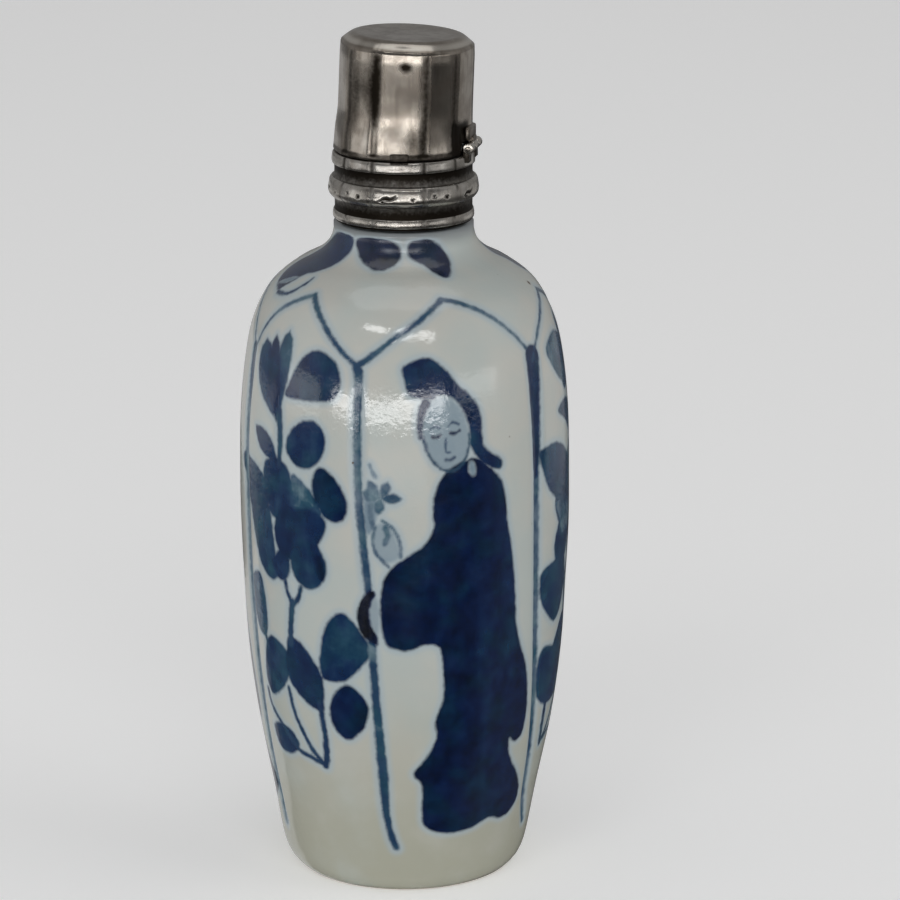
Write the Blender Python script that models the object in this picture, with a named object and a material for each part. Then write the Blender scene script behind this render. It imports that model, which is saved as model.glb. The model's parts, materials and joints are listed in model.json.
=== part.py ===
"""Small porcelain scent bottle with a silver collar and a hinged silver lid.

The bottle stands on its foot ring at the origin, +Z up. The lid's hinge is on +X and its pin
runs along Y. Shapes are drawn in millimetres and turned into metres when a mesh is finished.
"""

import math

import bmesh
import bpy
import numpy as np
from mathutils import Matrix, Vector

MM = 0.001

# Bottle: driving dimensions, mm.
HEIGHT = 85.0
FOOT_RADIUS = 10.45
FOOT_RING_WIDTH = 1.3
FOOT_RECESS = 0.9
WALL = 2.0
FLOOR = 3.4
SHOULDER_LEDGE_Z = 66.3
NECK_RADIUS = 5.7
LIP_Z = 72.3
BORE_RADIUS = 3.5
BOTTLE_COLUMNS = 48

# Moulded panels: wide and narrow ones take turns round the body, degrees and mm.
WIDE_PANEL = 66.0
NARROW_PANEL = 54.0
WIDE_COLUMNS = 9
NARROW_COLUMNS = 7
FIRST_LINE = -1.5
LINE_DEPTH = 0.22
LINE_HALF_WIDTH = 5.0
PANEL_SWELL = 0.2
PANEL_BOTTOM_Z = 2.5
PANEL_SPRING_Z = 54.7
PANEL_TOP_Z = 60.2

# Collar and lid, mm.
GAP = 0.3
COLLAR_BOTTOM_Z = SHOULDER_LEDGE_Z + GAP
COLLAR_TOP_Z = 73.45
COLLAR_RADIUS = 6.9
COLLAR_COLUMNS = 48
BEZEL_RADIUS = 5.75
BEZEL_BORE = 5.15
BEZEL_TOP_Z = 76.6
LID_BOTTOM_Z = COLLAR_TOP_Z + GAP
LID_MOUTH_RADIUS = 7.05
LID_TOP_RADIUS = 6.62
LID_WALL = 0.8
FLUTES = 10
FLUTE_COLUMNS = 6
FIRST_FLUTE_LINE = 27.0
FLUTE_DEPTH = 0.32
FLUTE_FLATNESS = 0.16
LID_LEAN = 2.3

# Hinge, mm.
HINGE_X = 6.95
HINGE_Z = 74.1
BARREL_RADIUS = 0.62
PIN_RADIUS = 0.26
PIN_HOLE_RADIUS = 0.34
PIN_LENGTH = 4.7
KNUCKLE_HALF = 0.75
KNUCKLE_GAP = 0.12
BARREL_HALF = 2.2
NOTCH_HALF = 2.5
STRAP_INSET = 0.1
TURNING_ROOM = 0.12
LEAF_FACE_X = 7.35
LEAF_BOTTOM_Z = 74.27
LEAF_TOP_Z = 77.0
LEAF_HALF_WIDTH = 1.9


def clear_scene():
    for item in list(bpy.data.objects):
        bpy.data.objects.remove(item, do_unlink=True)


def material(name, colour, roughness, metallic=0.0):
    finish = bpy.data.materials.new(name)
    finish.use_nodes = True
    shader = finish.node_tree.nodes["Principled BSDF"]
    shader.inputs["Base Color"].default_value = (*colour, 1.0)
    shader.inputs["Roughness"].default_value = roughness
    shader.inputs["Metallic"].default_value = metallic
    finish.diffuse_color = (*colour, 1.0)
    return finish


def finish_object(name, bm, finish, guide=False):
    """Turn a bmesh in millimetres into a smooth-shaded object in metres."""
    bmesh.ops.recalc_face_normals(bm, faces=bm.faces[:])
    bmesh.ops.scale(bm, vec=(MM, MM, MM), verts=bm.verts[:])
    mesh = bpy.data.meshes.new(name)
    bm.to_mesh(mesh)
    bm.free()
    mesh.shade_smooth()
    mesh.set_sharp_from_angle(angle=math.radians(40))
    mesh.materials.append(finish)
    item = bpy.data.objects.new(name, mesh)
    bpy.context.scene.collection.objects.link(item)
    if guide:
        item.hide_render = True
        item.display_type = "WIRE"
    return item


def smooth_through(knots, steps):
    """Points of a Catmull-Rom curve through the knots, with `steps` points to each span."""
    ends = [knots[0], *knots, knots[-1]]
    points = []
    for before, start, end, after in zip(ends, ends[1:], ends[2:], ends[3:]):
        for step in range(steps):
            t = step / steps
            points.append(tuple(
                0.5 * (2 * b + (c - a) * t + (2 * a - 5 * b + 4 * c - d) * t * t
                       + (3 * b - a - 3 * c + d) * t ** 3)
                for a, b, c, d in zip(before, start, end, after)))
    return points + [tuple(knots[-1])]


def arc(centre_r, centre_z, radius, start, end, steps):
    """Points of a round stretch of a profile; 0 degrees points outwards and 90 up."""
    turn = [math.radians(start + (end - start) * i / steps) for i in range(steps + 1)]
    return [(centre_r + radius * math.cos(a), centre_z + radius * math.sin(a)) for a in turn]


def turned(profile, columns, closed):
    """Spin a profile of (radius, height) points round the Z axis into a closed body."""
    bm = bmesh.new()
    verts = [bm.verts.new((r, 0.0, z)) for r, z in profile]
    pairs = list(zip(verts, verts[1:])) + ([(verts[-1], verts[0])] if closed else [])
    edges = [bm.edges.new(pair) for pair in pairs]
    bmesh.ops.spin(bm, geom=verts + edges, cent=(0, 0, 0), axis=(0, 0, 1), dvec=(0, 0, 0),
                   angle=math.tau, steps=columns, use_merge=True, use_duplicate=False)
    bmesh.ops.remove_doubles(bm, verts=bm.verts[:], dist=0.0005)
    return bm


def smoothstep(low, high, value):
    t = min(max((value - low) / (high - low), 0.0), 1.0)
    return t * t * (3 - 2 * t)


def heading(x, y):
    """Direction round the bottle in degrees: 0 at -Y, 90 at +X."""
    return math.degrees(math.atan2(x, -y))


# ---- bottle ----

def bottle_side():
    """Outer profile from the foot ring's edge to the ledge under the collar."""
    foot = [(FOOT_RADIUS, 0.0), (11.15, 0.4)]
    body = smooth_through([(11.75, 1.05), (12.4, 2.8), (13.4, 8.2), (14.85, 15.5), (15.85, 24.0),
                           (16.38, 33.0), (16.52, 41.0), (16.32, 48.0), (15.75, 53.5),
                           (14.85, 57.0)], 2)
    shoulder = smooth_through([(14.85, 57.0), (13.2, 60.0), (10.8, 62.0), (8.75, 63.1),
                               (7.55, 64.1), (7.0, 65.2), (6.92, SHOULDER_LEDGE_Z)], 2)
    return foot + body + shoulder[1:]


def bottle_inside():
    """Inner profile from the lip down the bore and the inner wall to the floor's centre."""
    bore = [(BORE_RADIUS + 0.25, LIP_Z), (BORE_RADIUS, LIP_Z - 0.25), (BORE_RADIUS, 64.2)]
    wall = [(BORE_RADIUS + 0.4, 62.8), (6.2, 61.9), (9.4, 60.3), (12.2, 57.6),
            (15.75 - WALL, 52.0), (16.45 - WALL, 42.0), (15.9 - WALL, 25.0), (13.9 - WALL, 11.0),
            (10.6, 5.2)]
    return bore + wall + [(8.0, FLOOR), (0.0, FLOOR)]


def panel_edges():
    """Start and end heading of each of the six panels, wide ones first."""
    edges, start = [], FIRST_LINE
    for width in (WIDE_PANEL, NARROW_PANEL) * 3:
        edges.append((start, start + width))
        start += width
    return edges


def column_headings():
    """Heading of each column of the body, so that every panel line falls on a column."""
    headings = []
    for index, (start, end) in enumerate(panel_edges()):
        count = NARROW_COLUMNS if index % 2 else WIDE_COLUMNS
        headings += [start + (end - start) * i / count for i in range(count)]
    return headings


def panel_press(angle):
    """How far the wall lies below a panel's crest at a heading, before fading, mm."""
    for start, end in panel_edges():
        along = (angle - start) % 360.0
        if along <= end - start:
            off_line = min(along, end - start - along)
            to_crest = off_line / ((end - start) / 2)
            line = LINE_DEPTH * math.exp(-(off_line / LINE_HALF_WIDTH) ** 2)
            return line + PANEL_SWELL * (1 - to_crest) ** 2
    return 0.0


def press_panels(bm):
    """Move the columns onto the panel lines and press the lines into the outer wall."""
    headings = column_headings()
    step = 360.0 / BOTTLE_COLUMNS
    side_radius, side_z = zip(*bottle_side())
    for vert in bm.verts:
        radius = math.hypot(vert.co.x, vert.co.y)
        if radius < 0.01:
            continue
        column = round(heading(vert.co.x, vert.co.y) / step) % BOTTLE_COLUMNS
        angle = headings[column]
        crest = np.interp(vert.co.z, side_z, side_radius)
        if radius > crest - 0.9 * WALL and vert.co.z > 0:
            fade = (smoothstep(PANEL_BOTTOM_Z, PANEL_BOTTOM_Z + 6, vert.co.z)
                    * (1 - smoothstep(PANEL_SPRING_Z, PANEL_TOP_Z, vert.co.z)))
            radius -= panel_press(angle) * fade
        turn = math.radians(angle)
        vert.co.x, vert.co.y = radius * math.sin(turn), -radius * math.cos(turn)


def make_bottle(finish):
    recess = [(0.0, FOOT_RECESS), (FOOT_RADIUS - FOOT_RING_WIDTH - 0.5, FOOT_RECESS - 0.1),
              (FOOT_RADIUS - FOOT_RING_WIDTH, 0.0)]
    neck = [(NECK_RADIUS, SHOULDER_LEDGE_Z), (NECK_RADIUS, LIP_Z - 0.25),
            (NECK_RADIUS - 0.25, LIP_Z)]
    bm = turned(recess + bottle_side() + neck + bottle_inside(), BOTTLE_COLUMNS, False)
    press_panels(bm)
    return finish_object("bottle", bm, finish)


# ---- collar ----

def collar_profile():
    """Beaded collar with a bulging middle band, and the bezel that the lid closes over."""
    lower_bead = arc(6.88, 67.55, 0.32, -75, 75, 3)
    band = [(6.95, 68.75), (7.3, 69.1), (7.43, 69.6), (7.38, 70.2), (7.15, 70.8)]
    upper_bead = arc(6.85, 72.6, 0.33, -75, 75, 3)
    outside = ([(COLLAR_RADIUS - 0.05, COLLAR_BOTTOM_Z)] + lower_bead
               + [(6.78, 68.1)] + band + [(6.8, 71.2), (6.74, 72.1)] + upper_bead
               + [(COLLAR_RADIUS, 73.05), (COLLAR_RADIUS, COLLAR_TOP_Z)])
    bezel = [(BEZEL_RADIUS, COLLAR_TOP_Z), (BEZEL_RADIUS, BEZEL_TOP_Z - 0.2),
             (BEZEL_RADIUS - 0.2, BEZEL_TOP_Z), (BEZEL_BORE, BEZEL_TOP_Z)]
    inside = [(BEZEL_BORE, LIP_Z + GAP), (NECK_RADIUS + GAP, LIP_Z + GAP),
              (NECK_RADIUS + GAP, COLLAR_BOTTOM_Z)]
    return outside + bezel + inside


def barrel(name, radius, low, high, finish, sides=16):
    """A rod along the hinge axis, from `low` to `high` on Y."""
    bm = bmesh.new()
    place = (Matrix.Translation(Vector((HINGE_X, (low + high) / 2, HINGE_Z)))
             @ Matrix.Rotation(math.radians(90), 4, "X"))
    bmesh.ops.create_cone(bm, cap_ends=True, segments=sides, radius1=radius, radius2=radius,
                          depth=high - low, matrix=place)
    return finish_object(name, bm, finish, guide=True)


def block(name, low, high, finish, rounding=0.0):
    """A box between two corners, its upright edges rounded when asked."""
    bm = bmesh.new()
    centre = [(a + b) / 2 for a, b in zip(low, high)]
    size = [b - a for a, b in zip(low, high)]
    bmesh.ops.create_cube(bm, size=1.0, matrix=Matrix.Translation(centre)
                          @ Matrix.Diagonal((*size, 1.0)))
    if rounding:
        outer = [e for e in bm.edges if all(v.co.x > centre[0] for v in e.verts)]
        bmesh.ops.bevel(bm, geom=outer, offset=rounding, segments=2, profile=0.5,
                        affect="EDGES", material=-1)
    return finish_object(name, bm, finish, guide=True)


def combine(target, tool, operation):
    step = target.modifiers.new(tool.name, "BOOLEAN")
    step.operation = operation
    step.solver = "EXACT"
    step.object = tool


def knuckle_spans():
    """The two stretches of the hinge axis that belong to the collar."""
    inner = KNUCKLE_HALF + KNUCKLE_GAP
    return (("near", -BARREL_HALF, -inner), ("far", inner, BARREL_HALF))


def make_collar(finish):
    collar = finish_object("collar", turned(collar_profile(), COLLAR_COLUMNS, True), finish)
    room = barrel("collar_notch", BARREL_RADIUS + TURNING_ROOM, -KNUCKLE_HALF - KNUCKLE_GAP,
                  KNUCKLE_HALF + KNUCKLE_GAP, finish)
    combine(collar, room, "DIFFERENCE")
    for side, low, high in knuckle_spans():
        strap = block("collar_strap_" + side, (6.4, low + STRAP_INSET, 72.5),
                      (7.1, high - STRAP_INSET, HINGE_Z - 0.1), finish)
        combine(collar, strap, "UNION")
        combine(collar, barrel("collar_knuckle_" + side, BARREL_RADIUS, low, high, finish),
                "UNION")
    hole = barrel("collar_pin_hole", PIN_HOLE_RADIUS, -3.0, 3.0, finish, sides=12)
    combine(collar, hole, "DIFFERENCE")
    return collar


# ---- lid ----

def lid_profile():
    """Fluted wall that flares to the mouth, a rim round the flat top, and the inside."""
    inner = LID_MOUTH_RADIUS - LID_WALL
    wall = [(6.98, 74.5), (6.92, 75.4), (6.84, 76.8), (6.75, 79.2), (6.66, 83.1)]
    top = [(6.38, 83.85), (6.38, 84.1), (LID_TOP_RADIUS, 84.25), (LID_TOP_RADIUS, 84.75),
           (LID_TOP_RADIUS - 0.25, HEIGHT), (0.0, HEIGHT)]
    inside = [(0.0, HEIGHT - LID_WALL), (5.85, HEIGHT - LID_WALL), (5.95, 83.6), (inner, 75.5),
              (inner, LID_BOTTOM_Z)]
    return (inside + [(LID_MOUTH_RADIUS - 0.05, LID_BOTTOM_Z), (LID_MOUTH_RADIUS, 74.05)]
            + wall + top)


def shape_flutes(bm):
    """Crowd the columns towards the lines between flutes, flatten the flutes, cut the lines."""
    flute = 360.0 / FLUTES
    for vert in bm.verts:
        radius = math.hypot(vert.co.x, vert.co.y)
        if radius < 0.01:
            continue
        angle = heading(vert.co.x, vert.co.y)
        crowding = 0.4 * math.degrees(math.sin(math.radians(angle) * FLUTES)) / FLUTES
        from_line = abs((angle - crowding + flute / 2) % flute - flute / 2)
        angle += FIRST_FLUTE_LINE - crowding
        if radius > 6.5:
            fade = smoothstep(74.1, 74.6, vert.co.z) * (1 - smoothstep(83.2, 84.2, vert.co.z))
            flat = FLUTE_FLATNESS * (from_line / (flute / 2))
            cut = FLUTE_DEPTH * math.exp(-(from_line / 2.4) ** 2)
            radius -= (flat + cut) * fade
        turn = math.radians(angle)
        vert.co.x, vert.co.y = radius * math.sin(turn), -radius * math.cos(turn)


def lean_lid(bm):
    """Bend the lid a little towards its hinge, leaving its mouth square on the collar."""
    for vert in bm.verts:
        lean = math.radians(LID_LEAN) * smoothstep(74.3, 77.5, vert.co.z)
        rise = vert.co.z - LID_BOTTOM_Z
        x = vert.co.x
        vert.co.x = x * math.cos(lean) + rise * math.sin(lean)
        vert.co.z = LID_BOTTOM_Z + rise * math.cos(lean) - x * math.sin(lean)


def make_lid(finish):
    bm = turned(lid_profile(), FLUTES * FLUTE_COLUMNS, False)
    shape_flutes(bm)
    lean_lid(bm)
    lid = finish_object("lid", bm, finish)
    leaf = block("lid_leaf", (6.5, -LEAF_HALF_WIDTH, LEAF_BOTTOM_Z),
                 (LEAF_FACE_X, LEAF_HALF_WIDTH, LEAF_TOP_Z), finish, rounding=0.3)
    combine(lid, leaf, "UNION")
    web = KNUCKLE_HALF + KNUCKLE_GAP / 3
    room = BARREL_RADIUS + TURNING_ROOM
    for side, low, high in (("near", -NOTCH_HALF, -web), ("far", web, NOTCH_HALF)):
        combine(lid, barrel("lid_notch_" + side, room, low, high, finish), "DIFFERENCE")
    combine(lid, barrel("lid_knuckle", BARREL_RADIUS, -KNUCKLE_HALF, KNUCKLE_HALF, finish),
            "UNION")
    combine(lid, barrel("lid_pin_hole", PIN_HOLE_RADIUS, -3.0, 3.0, finish, sides=12),
            "DIFFERENCE")
    return lid


def make_pin(finish):
    pin = barrel("hinge_pin", PIN_RADIUS, -PIN_LENGTH / 2, PIN_LENGTH / 2, finish, sides=12)
    pin.hide_render = False
    pin.display_type = "TEXTURED"
    return pin


def main():
    clear_scene()
    porcelain = material("glazed_porcelain", (0.44, 0.45, 0.42), 0.12)
    silver = material("old_silver", (0.42, 0.38, 0.35), 0.3, 1.0)
    make_bottle(porcelain)
    make_collar(silver)
    make_lid(silver)
    make_pin(silver)


main()
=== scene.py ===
# %% [markdown]
# # A small porcelain scent bottle with a hinged silver lid
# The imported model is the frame: it fixes every size and the hinge. Each piece here is modelled
# again more finely in the same place, and rides on the body that the frame gives it. Lengths are
# written in millimetres, because the whole bottle is only 85 of them high, and each mesh is
# scaled to metres once, when it is finished.

# %% Load the frame
import json
import math
import random

import bmesh
import bpy
import numpy as np
from mathutils import Matrix, Vector, noise

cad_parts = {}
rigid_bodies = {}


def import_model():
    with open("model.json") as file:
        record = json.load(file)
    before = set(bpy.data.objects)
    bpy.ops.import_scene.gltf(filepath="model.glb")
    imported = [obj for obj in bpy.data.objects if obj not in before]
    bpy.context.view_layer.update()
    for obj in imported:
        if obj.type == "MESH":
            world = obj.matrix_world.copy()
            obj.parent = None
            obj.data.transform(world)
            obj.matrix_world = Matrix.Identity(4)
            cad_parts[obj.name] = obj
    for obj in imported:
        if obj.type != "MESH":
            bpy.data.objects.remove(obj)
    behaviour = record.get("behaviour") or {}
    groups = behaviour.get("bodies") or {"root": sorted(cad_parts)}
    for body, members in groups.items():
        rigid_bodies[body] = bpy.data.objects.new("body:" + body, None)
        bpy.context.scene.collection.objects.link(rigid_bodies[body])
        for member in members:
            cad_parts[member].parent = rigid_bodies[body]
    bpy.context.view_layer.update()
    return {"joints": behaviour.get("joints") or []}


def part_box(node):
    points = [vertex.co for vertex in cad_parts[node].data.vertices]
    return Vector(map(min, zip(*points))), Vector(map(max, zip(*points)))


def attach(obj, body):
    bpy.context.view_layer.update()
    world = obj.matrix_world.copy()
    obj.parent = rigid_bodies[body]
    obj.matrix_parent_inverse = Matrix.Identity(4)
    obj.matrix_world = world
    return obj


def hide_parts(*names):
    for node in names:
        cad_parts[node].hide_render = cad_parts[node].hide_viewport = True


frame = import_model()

MM = 0.001
BOTTLE_BODY = "bottle"
LID_BODY = "lid"

# %% [markdown]
# ## Helpers
# A round piece is quickest as a profile turned about an axis, which is what a potter and a
# silversmith do too. The profile's points are joined by a smooth curve, so that a few points
# give a fair outline. The spin operator then sweeps the line through a full turn, and its last
# column is merged with its first, so the body closes.


# %% Smooth curves, arcs and turned bodies
def smooth_through(knots, steps, closed=False):
    """Points of a Catmull-Rom curve through the knots, `steps` to each span."""
    ends = [knots[-1], *knots, knots[0], knots[1]] if closed else [knots[0], *knots, knots[-1]]
    points = []
    for before, start, end, after in zip(ends, ends[1:], ends[2:], ends[3:]):
        for step in range(steps):
            t = step / steps
            points.append(tuple(
                0.5 * (2 * b + (c - a) * t + (2 * a - 5 * b + 4 * c - d) * t * t
                       + (3 * b - a - 3 * c + d) * t ** 3)
                for a, b, c, d in zip(before, start, end, after)))
    return points if closed else points + [tuple(knots[-1])]


def evenly(points, spacing):
    """The same line with its points spread evenly, about `spacing` apart."""
    line = np.array(points, float)
    run = np.concatenate([[0.0], np.cumsum(np.linalg.norm(np.diff(line, axis=0), axis=1))])
    count = max(int(round(run[-1] / spacing)), 1)
    at = np.linspace(0.0, run[-1], count + 1)
    return list(zip(np.interp(at, run, line[:, 0]), np.interp(at, run, line[:, 1])))


def arc(centre_r, centre_z, radius, start, end, steps):
    """A round stretch of a profile; 0 degrees points outwards and 90 up."""
    turn = [math.radians(start + (end - start) * i / steps) for i in range(steps + 1)]
    return [(centre_r + radius * math.cos(a), centre_z + radius * math.sin(a)) for a in turn]


def turned(profile, columns, closed):
    """Spin a profile of (radius, height) points round the Z axis into a closed body."""
    bm = bmesh.new()
    verts = [bm.verts.new((r, 0.0, z)) for r, z in profile]
    pairs = list(zip(verts, verts[1:])) + ([(verts[-1], verts[0])] if closed else [])
    edges = [bm.edges.new(pair) for pair in pairs]
    bmesh.ops.spin(bm, geom=verts + edges, cent=(0, 0, 0), axis=(0, 0, 1), dvec=(0, 0, 0),
                   angle=math.tau, steps=columns, use_merge=True, use_duplicate=False)
    bmesh.ops.remove_doubles(bm, verts=bm.verts[:], dist=0.0005)
    bmesh.ops.recalc_face_normals(bm, faces=bm.faces[:])
    return bm


def smoothstep(low, high, value):
    t = np.clip((value - low) / (high - low), 0.0, 1.0)
    return t * t * (3 - 2 * t)


def heading(x, y):
    """Direction round the bottle in degrees: 0 at the front (-Y), 90 at the hinge (+X)."""
    return np.degrees(np.arctan2(x, -y))


def degrees_off(turn, at):
    """How far headings lie from another one, from -180 to 180 degrees."""
    return (turn - at + 180.0) % 360.0 - 180.0


def round_places(bm):
    """Radius, heading and height of every point of a turned body."""
    co = np.array([v.co[:] for v in bm.verts])
    return np.hypot(co[:, 0], co[:, 1]), heading(co[:, 0], co[:, 1]), co[:, 2]


def soft_noise(bm, fineness):
    """Smooth noise at every point, about -1 to 1; more fineness gives smaller bumps."""
    return np.array([noise.noise(Vector(v.co) * fineness) for v in bm.verts])


def finish_piece(name, bm, materials, body, replaces=()):
    """Scale a bmesh to metres, make it a smooth-shaded piece and let it ride on its body."""
    bmesh.ops.scale(bm, vec=(MM, MM, MM), verts=bm.verts[:])
    mesh = bpy.data.meshes.new(name)
    bm.to_mesh(mesh)
    bm.free()
    mesh.shade_smooth()
    for finish in materials:
        mesh.materials.append(finish)
    piece = bpy.data.objects.new(name, mesh)
    bpy.context.scene.collection.objects.link(piece)
    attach(piece, body)
    if replaces:
        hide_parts(*replaces)
    triangles = sum(len(p.vertices) - 2 for p in mesh.polygons)
    print("%s: %d triangles" % (name, triangles))
    return piece


def give_attribute(piece, name, values):
    layer = piece.data.attributes.new(name, "FLOAT", "POINT")
    layer.data.foreach_set("value", np.asarray(values, np.float32))


# %% [markdown]
# ## The shader helpers
# Every finish below is a node tree. Nodes are easier to read when they are made in one line
# each. So `node` adds any node with its settings and wires its inputs, and the other helpers
# give a short name to the kinds that come up most often.


# %% Node helpers
def new_finish(name):
    finish = bpy.data.materials.new(name)
    finish.use_nodes = True
    return finish, finish.node_tree, finish.node_tree.nodes["Principled BSDF"]


def node(tree, kind, inputs=None, **settings):
    made = tree.nodes.new(kind)
    for key, value in settings.items():
        setattr(made, key, value)
    for key, value in (inputs or {}).items():
        socket = made.inputs[key]
        if isinstance(value, bpy.types.NodeSocket):
            tree.links.new(value, socket)
        else:
            socket.default_value = value
    return made


def maths(tree, operation, first, second=0.0, clamp=False):
    made = node(tree, "ShaderNodeMath", {0: first, 1: second}, operation=operation)
    made.use_clamp = clamp
    return made.outputs[0]


def blend_colours(tree, factor, first, second):
    made = node(tree, "ShaderNodeMix", data_type="RGBA")
    for index, value in ((0, factor), (6, first), (7, second)):
        if isinstance(value, bpy.types.NodeSocket):
            tree.links.new(value, made.inputs[index])
        elif index == 0:
            made.inputs[0].default_value = value
        else:
            made.inputs[index].default_value = (*value, 1.0)
    return made.outputs[2]


def ramp_value(tree, value, low, high, to_low=0.0, to_high=1.0):
    return node(tree, "ShaderNodeMapRange",
                {"Value": value, "From Min": low, "From Max": high, "To Min": to_low,
                 "To Max": to_high}, interpolation_type="SMOOTHSTEP").outputs[0]


def speckle(tree, place, size_mm, detail=2.0, rough=0.5):
    """Noise whose blotches are about `size_mm` across, from 0 to 1."""
    return node(tree, "ShaderNodeTexNoise", {"Vector": place, "Scale": 1000.0 / size_mm,
                                             "Detail": detail, "Roughness": rough}).outputs[0]


def attribute(tree, name):
    return node(tree, "ShaderNodeAttribute", attribute_name=name).outputs["Fac"]


def upright(tree, place, share):
    """Places that make noise longer up and down; a smaller share gives longer streaks."""
    return node(tree, "ShaderNodeMapping", {"Vector": place, "Scale": (1.0, 1.0, share)}).outputs[0]


def swing(tree, value, amount):
    """A 0 to 1 value as a swing of `amount` about zero."""
    return maths(tree, "MULTIPLY", maths(tree, "SUBTRACT", value, 0.5), amount)


# %% [markdown]
# ## The porcelain body
# The body was thrown, then pressed into a mould with six panels: three wide and three narrow.
# A shallow line runs down between the panels and over their pointed tops. The outline and the
# panels' widths are the frame's own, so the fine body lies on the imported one. The lines stray
# from straight as they go down, each in its own way, as soft clay does when it leaves the mould.

# %% Sizes of the body
FOOT_RADIUS, FOOT_RING, FOOT_RECESS = 10.45, 1.3, 0.9
LEDGE_Z, NECK_RADIUS, LIP_Z, BORE_RADIUS = 66.3, 5.7, 72.3, 3.5
WALL, FLOOR_Z = 2.0, 3.4
SIDE_KNOTS = [(11.75, 1.05), (12.4, 2.8), (13.4, 8.2), (14.85, 15.5), (15.85, 24.0),
              (16.38, 33.0), (16.52, 41.0), (16.32, 48.0), (15.75, 53.5), (14.85, 57.0),
              (13.2, 60.0), (10.8, 62.0), (8.75, 63.1), (7.55, 64.1), (7.0, 65.2),
              (6.92, LEDGE_Z)]
WIDE_PANEL, NARROW_PANEL, FIRST_LINE = 66.0, 54.0, -1.5
PANEL_SWELL, LINE_DEPTH, LINE_SPREAD = 0.2, 0.2, 0.4
SPRING_Z, PANEL_TOP_Z = 54.7, 60.2
# How far each panel line strays from straight, as heights in mm and turns in degrees.
LINE_BENDS = [
    [(54.7, -1.8), (44.0, -1.8), (39.5, -0.6), (33.5, 2.0), (25.0, 3.2), (17.7, 4.9), (8.0, 6.8)],
    [(54.7, 3.2), (43.0, 1.4), (34.0, 1.9), (24.0, 4.4), (14.0, 9.5), (7.0, 14.0)],
    [(54.7, 0.0), (40.0, -1.0), (20.0, 1.5), (8.0, 5.0)],
    [(54.7, 1.0), (36.0, 0.0), (18.0, 3.5), (8.0, 6.0)],
    [(54.7, -1.0), (44.0, -1.5), (22.0, 2.0), (8.0, 5.0)],
    [(54.7, -4.4), (44.0, -5.0), (30.0, -3.0), (21.0, -1.5), (12.0, -4.5)],
]

side_line = np.array([(FOOT_RADIUS, 0.0), (10.85, 0.12), (11.2, 0.4)]
                     + smooth_through(SIDE_KNOTS, 24))
side_run = np.concatenate(
    [[0.0], np.cumsum(np.linalg.norm(np.diff(side_line, axis=0), axis=1))])


def side_radius(height):
    return np.interp(height, side_line[:, 1], side_line[:, 0])


def run_to(height):
    """Distance up the wall's own slope from the foot to a height, mm."""
    return np.interp(height, side_line[:, 1], side_run)


def line_start(index):
    """Heading of a panel line before it strays, degrees."""
    return FIRST_LINE + (WIDE_PANEL + NARROW_PANEL) * (index // 2) + WIDE_PANEL * (index % 2)


def line_turn(index, height):
    """Heading of a panel line at a height, degrees."""
    bend = np.array(LINE_BENDS[index][::-1])
    return line_start(index) + np.interp(height, bend[:, 0], bend[:, 1])


panels = [(line_start(index), NARROW_PANEL if index % 2 else WIDE_PANEL) for index in range(6)]
print("panels start at", [round(start, 1) for start, width in panels])

# %% [markdown]
# ## Brush strokes
# The painter worked with cobalt on the dry clay, before the glaze. A stroke here is a shape
# on the unrolled wall: x is millimetres across from the stroke's own heading, z is the height.
# The wall later measures its distance to each stroke. A distance gives a crisp edge wherever
# the shader cuts it, and a little noise on it gives the soft, slightly bled edge of real cobalt.
# A reserve is a spot that the painter left nearly bare.


# %% Shapes that a brush makes
def outline(points, steps=5):
    return smooth_through(points, steps, closed=True)


def oval(x, z, width, height, tilt=0.0):
    """A round dab; a positive tilt leans its top to the right."""
    turn = math.radians(tilt)
    points = []
    for i in range(24):
        a = math.tau * i / 24
        dx, dz = 0.5 * width * math.cos(a), 0.5 * height * math.sin(a)
        points.append((x + dx * math.cos(turn) + dz * math.sin(turn),
                       z - dx * math.sin(turn) + dz * math.cos(turn)))
    return points


def leaf(base, tip, width, bend=0.0, belly=0.55, blunt=0.8):
    """A leaf from base to tip, widest at `belly` of its length and bowed sideways by `bend`."""
    along = Vector(tip) - Vector(base)
    across = Vector((along.y, -along.x)).normalized()
    left, right = [], []
    for i in range(13):
        t = i / 12
        swell = max(math.sin(math.pi * t ** (math.log(0.5) / math.log(belly))), 0.0) ** blunt
        middle = Vector(base) + along * t + across * bend * math.sin(math.pi * t)
        left.append(tuple(middle - across * 0.5 * width * swell))
        right.append(tuple(middle + across * 0.5 * width * swell))
    return left + right[::-1]


def wash(shape, depth, layer="deep"):
    """A filled shape in one strength of cobalt."""
    return {"shape": shape, "depth": depth, "layer": layer}


def reserve(shape, depth=0.15):
    """A spot cut out of the strokes laid before it, with only a pale tint left."""
    return {"shape": shape, "depth": depth, "layer": "reserve"}


def line(points, width, end_width=None, depth=0.6, steps=5):
    """A brush line that goes from one width to the other."""
    return {"path": smooth_through(points, steps), "depth": depth, "layer": "line",
            "width": width, "end_width": width if end_width is None else end_width}


# %% [markdown]
# ## The spray of flowers
# Each narrow panel has one tall spray: a bud and round leaves at the top, a full blossom in the
# middle, and grasses that meet at the bottom. Broad leaves are single dabs of a loaded brush,
# so they are plain rounded shapes. The blossom is built from overlapping petals, some in thin
# and some in strong cobalt.


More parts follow.
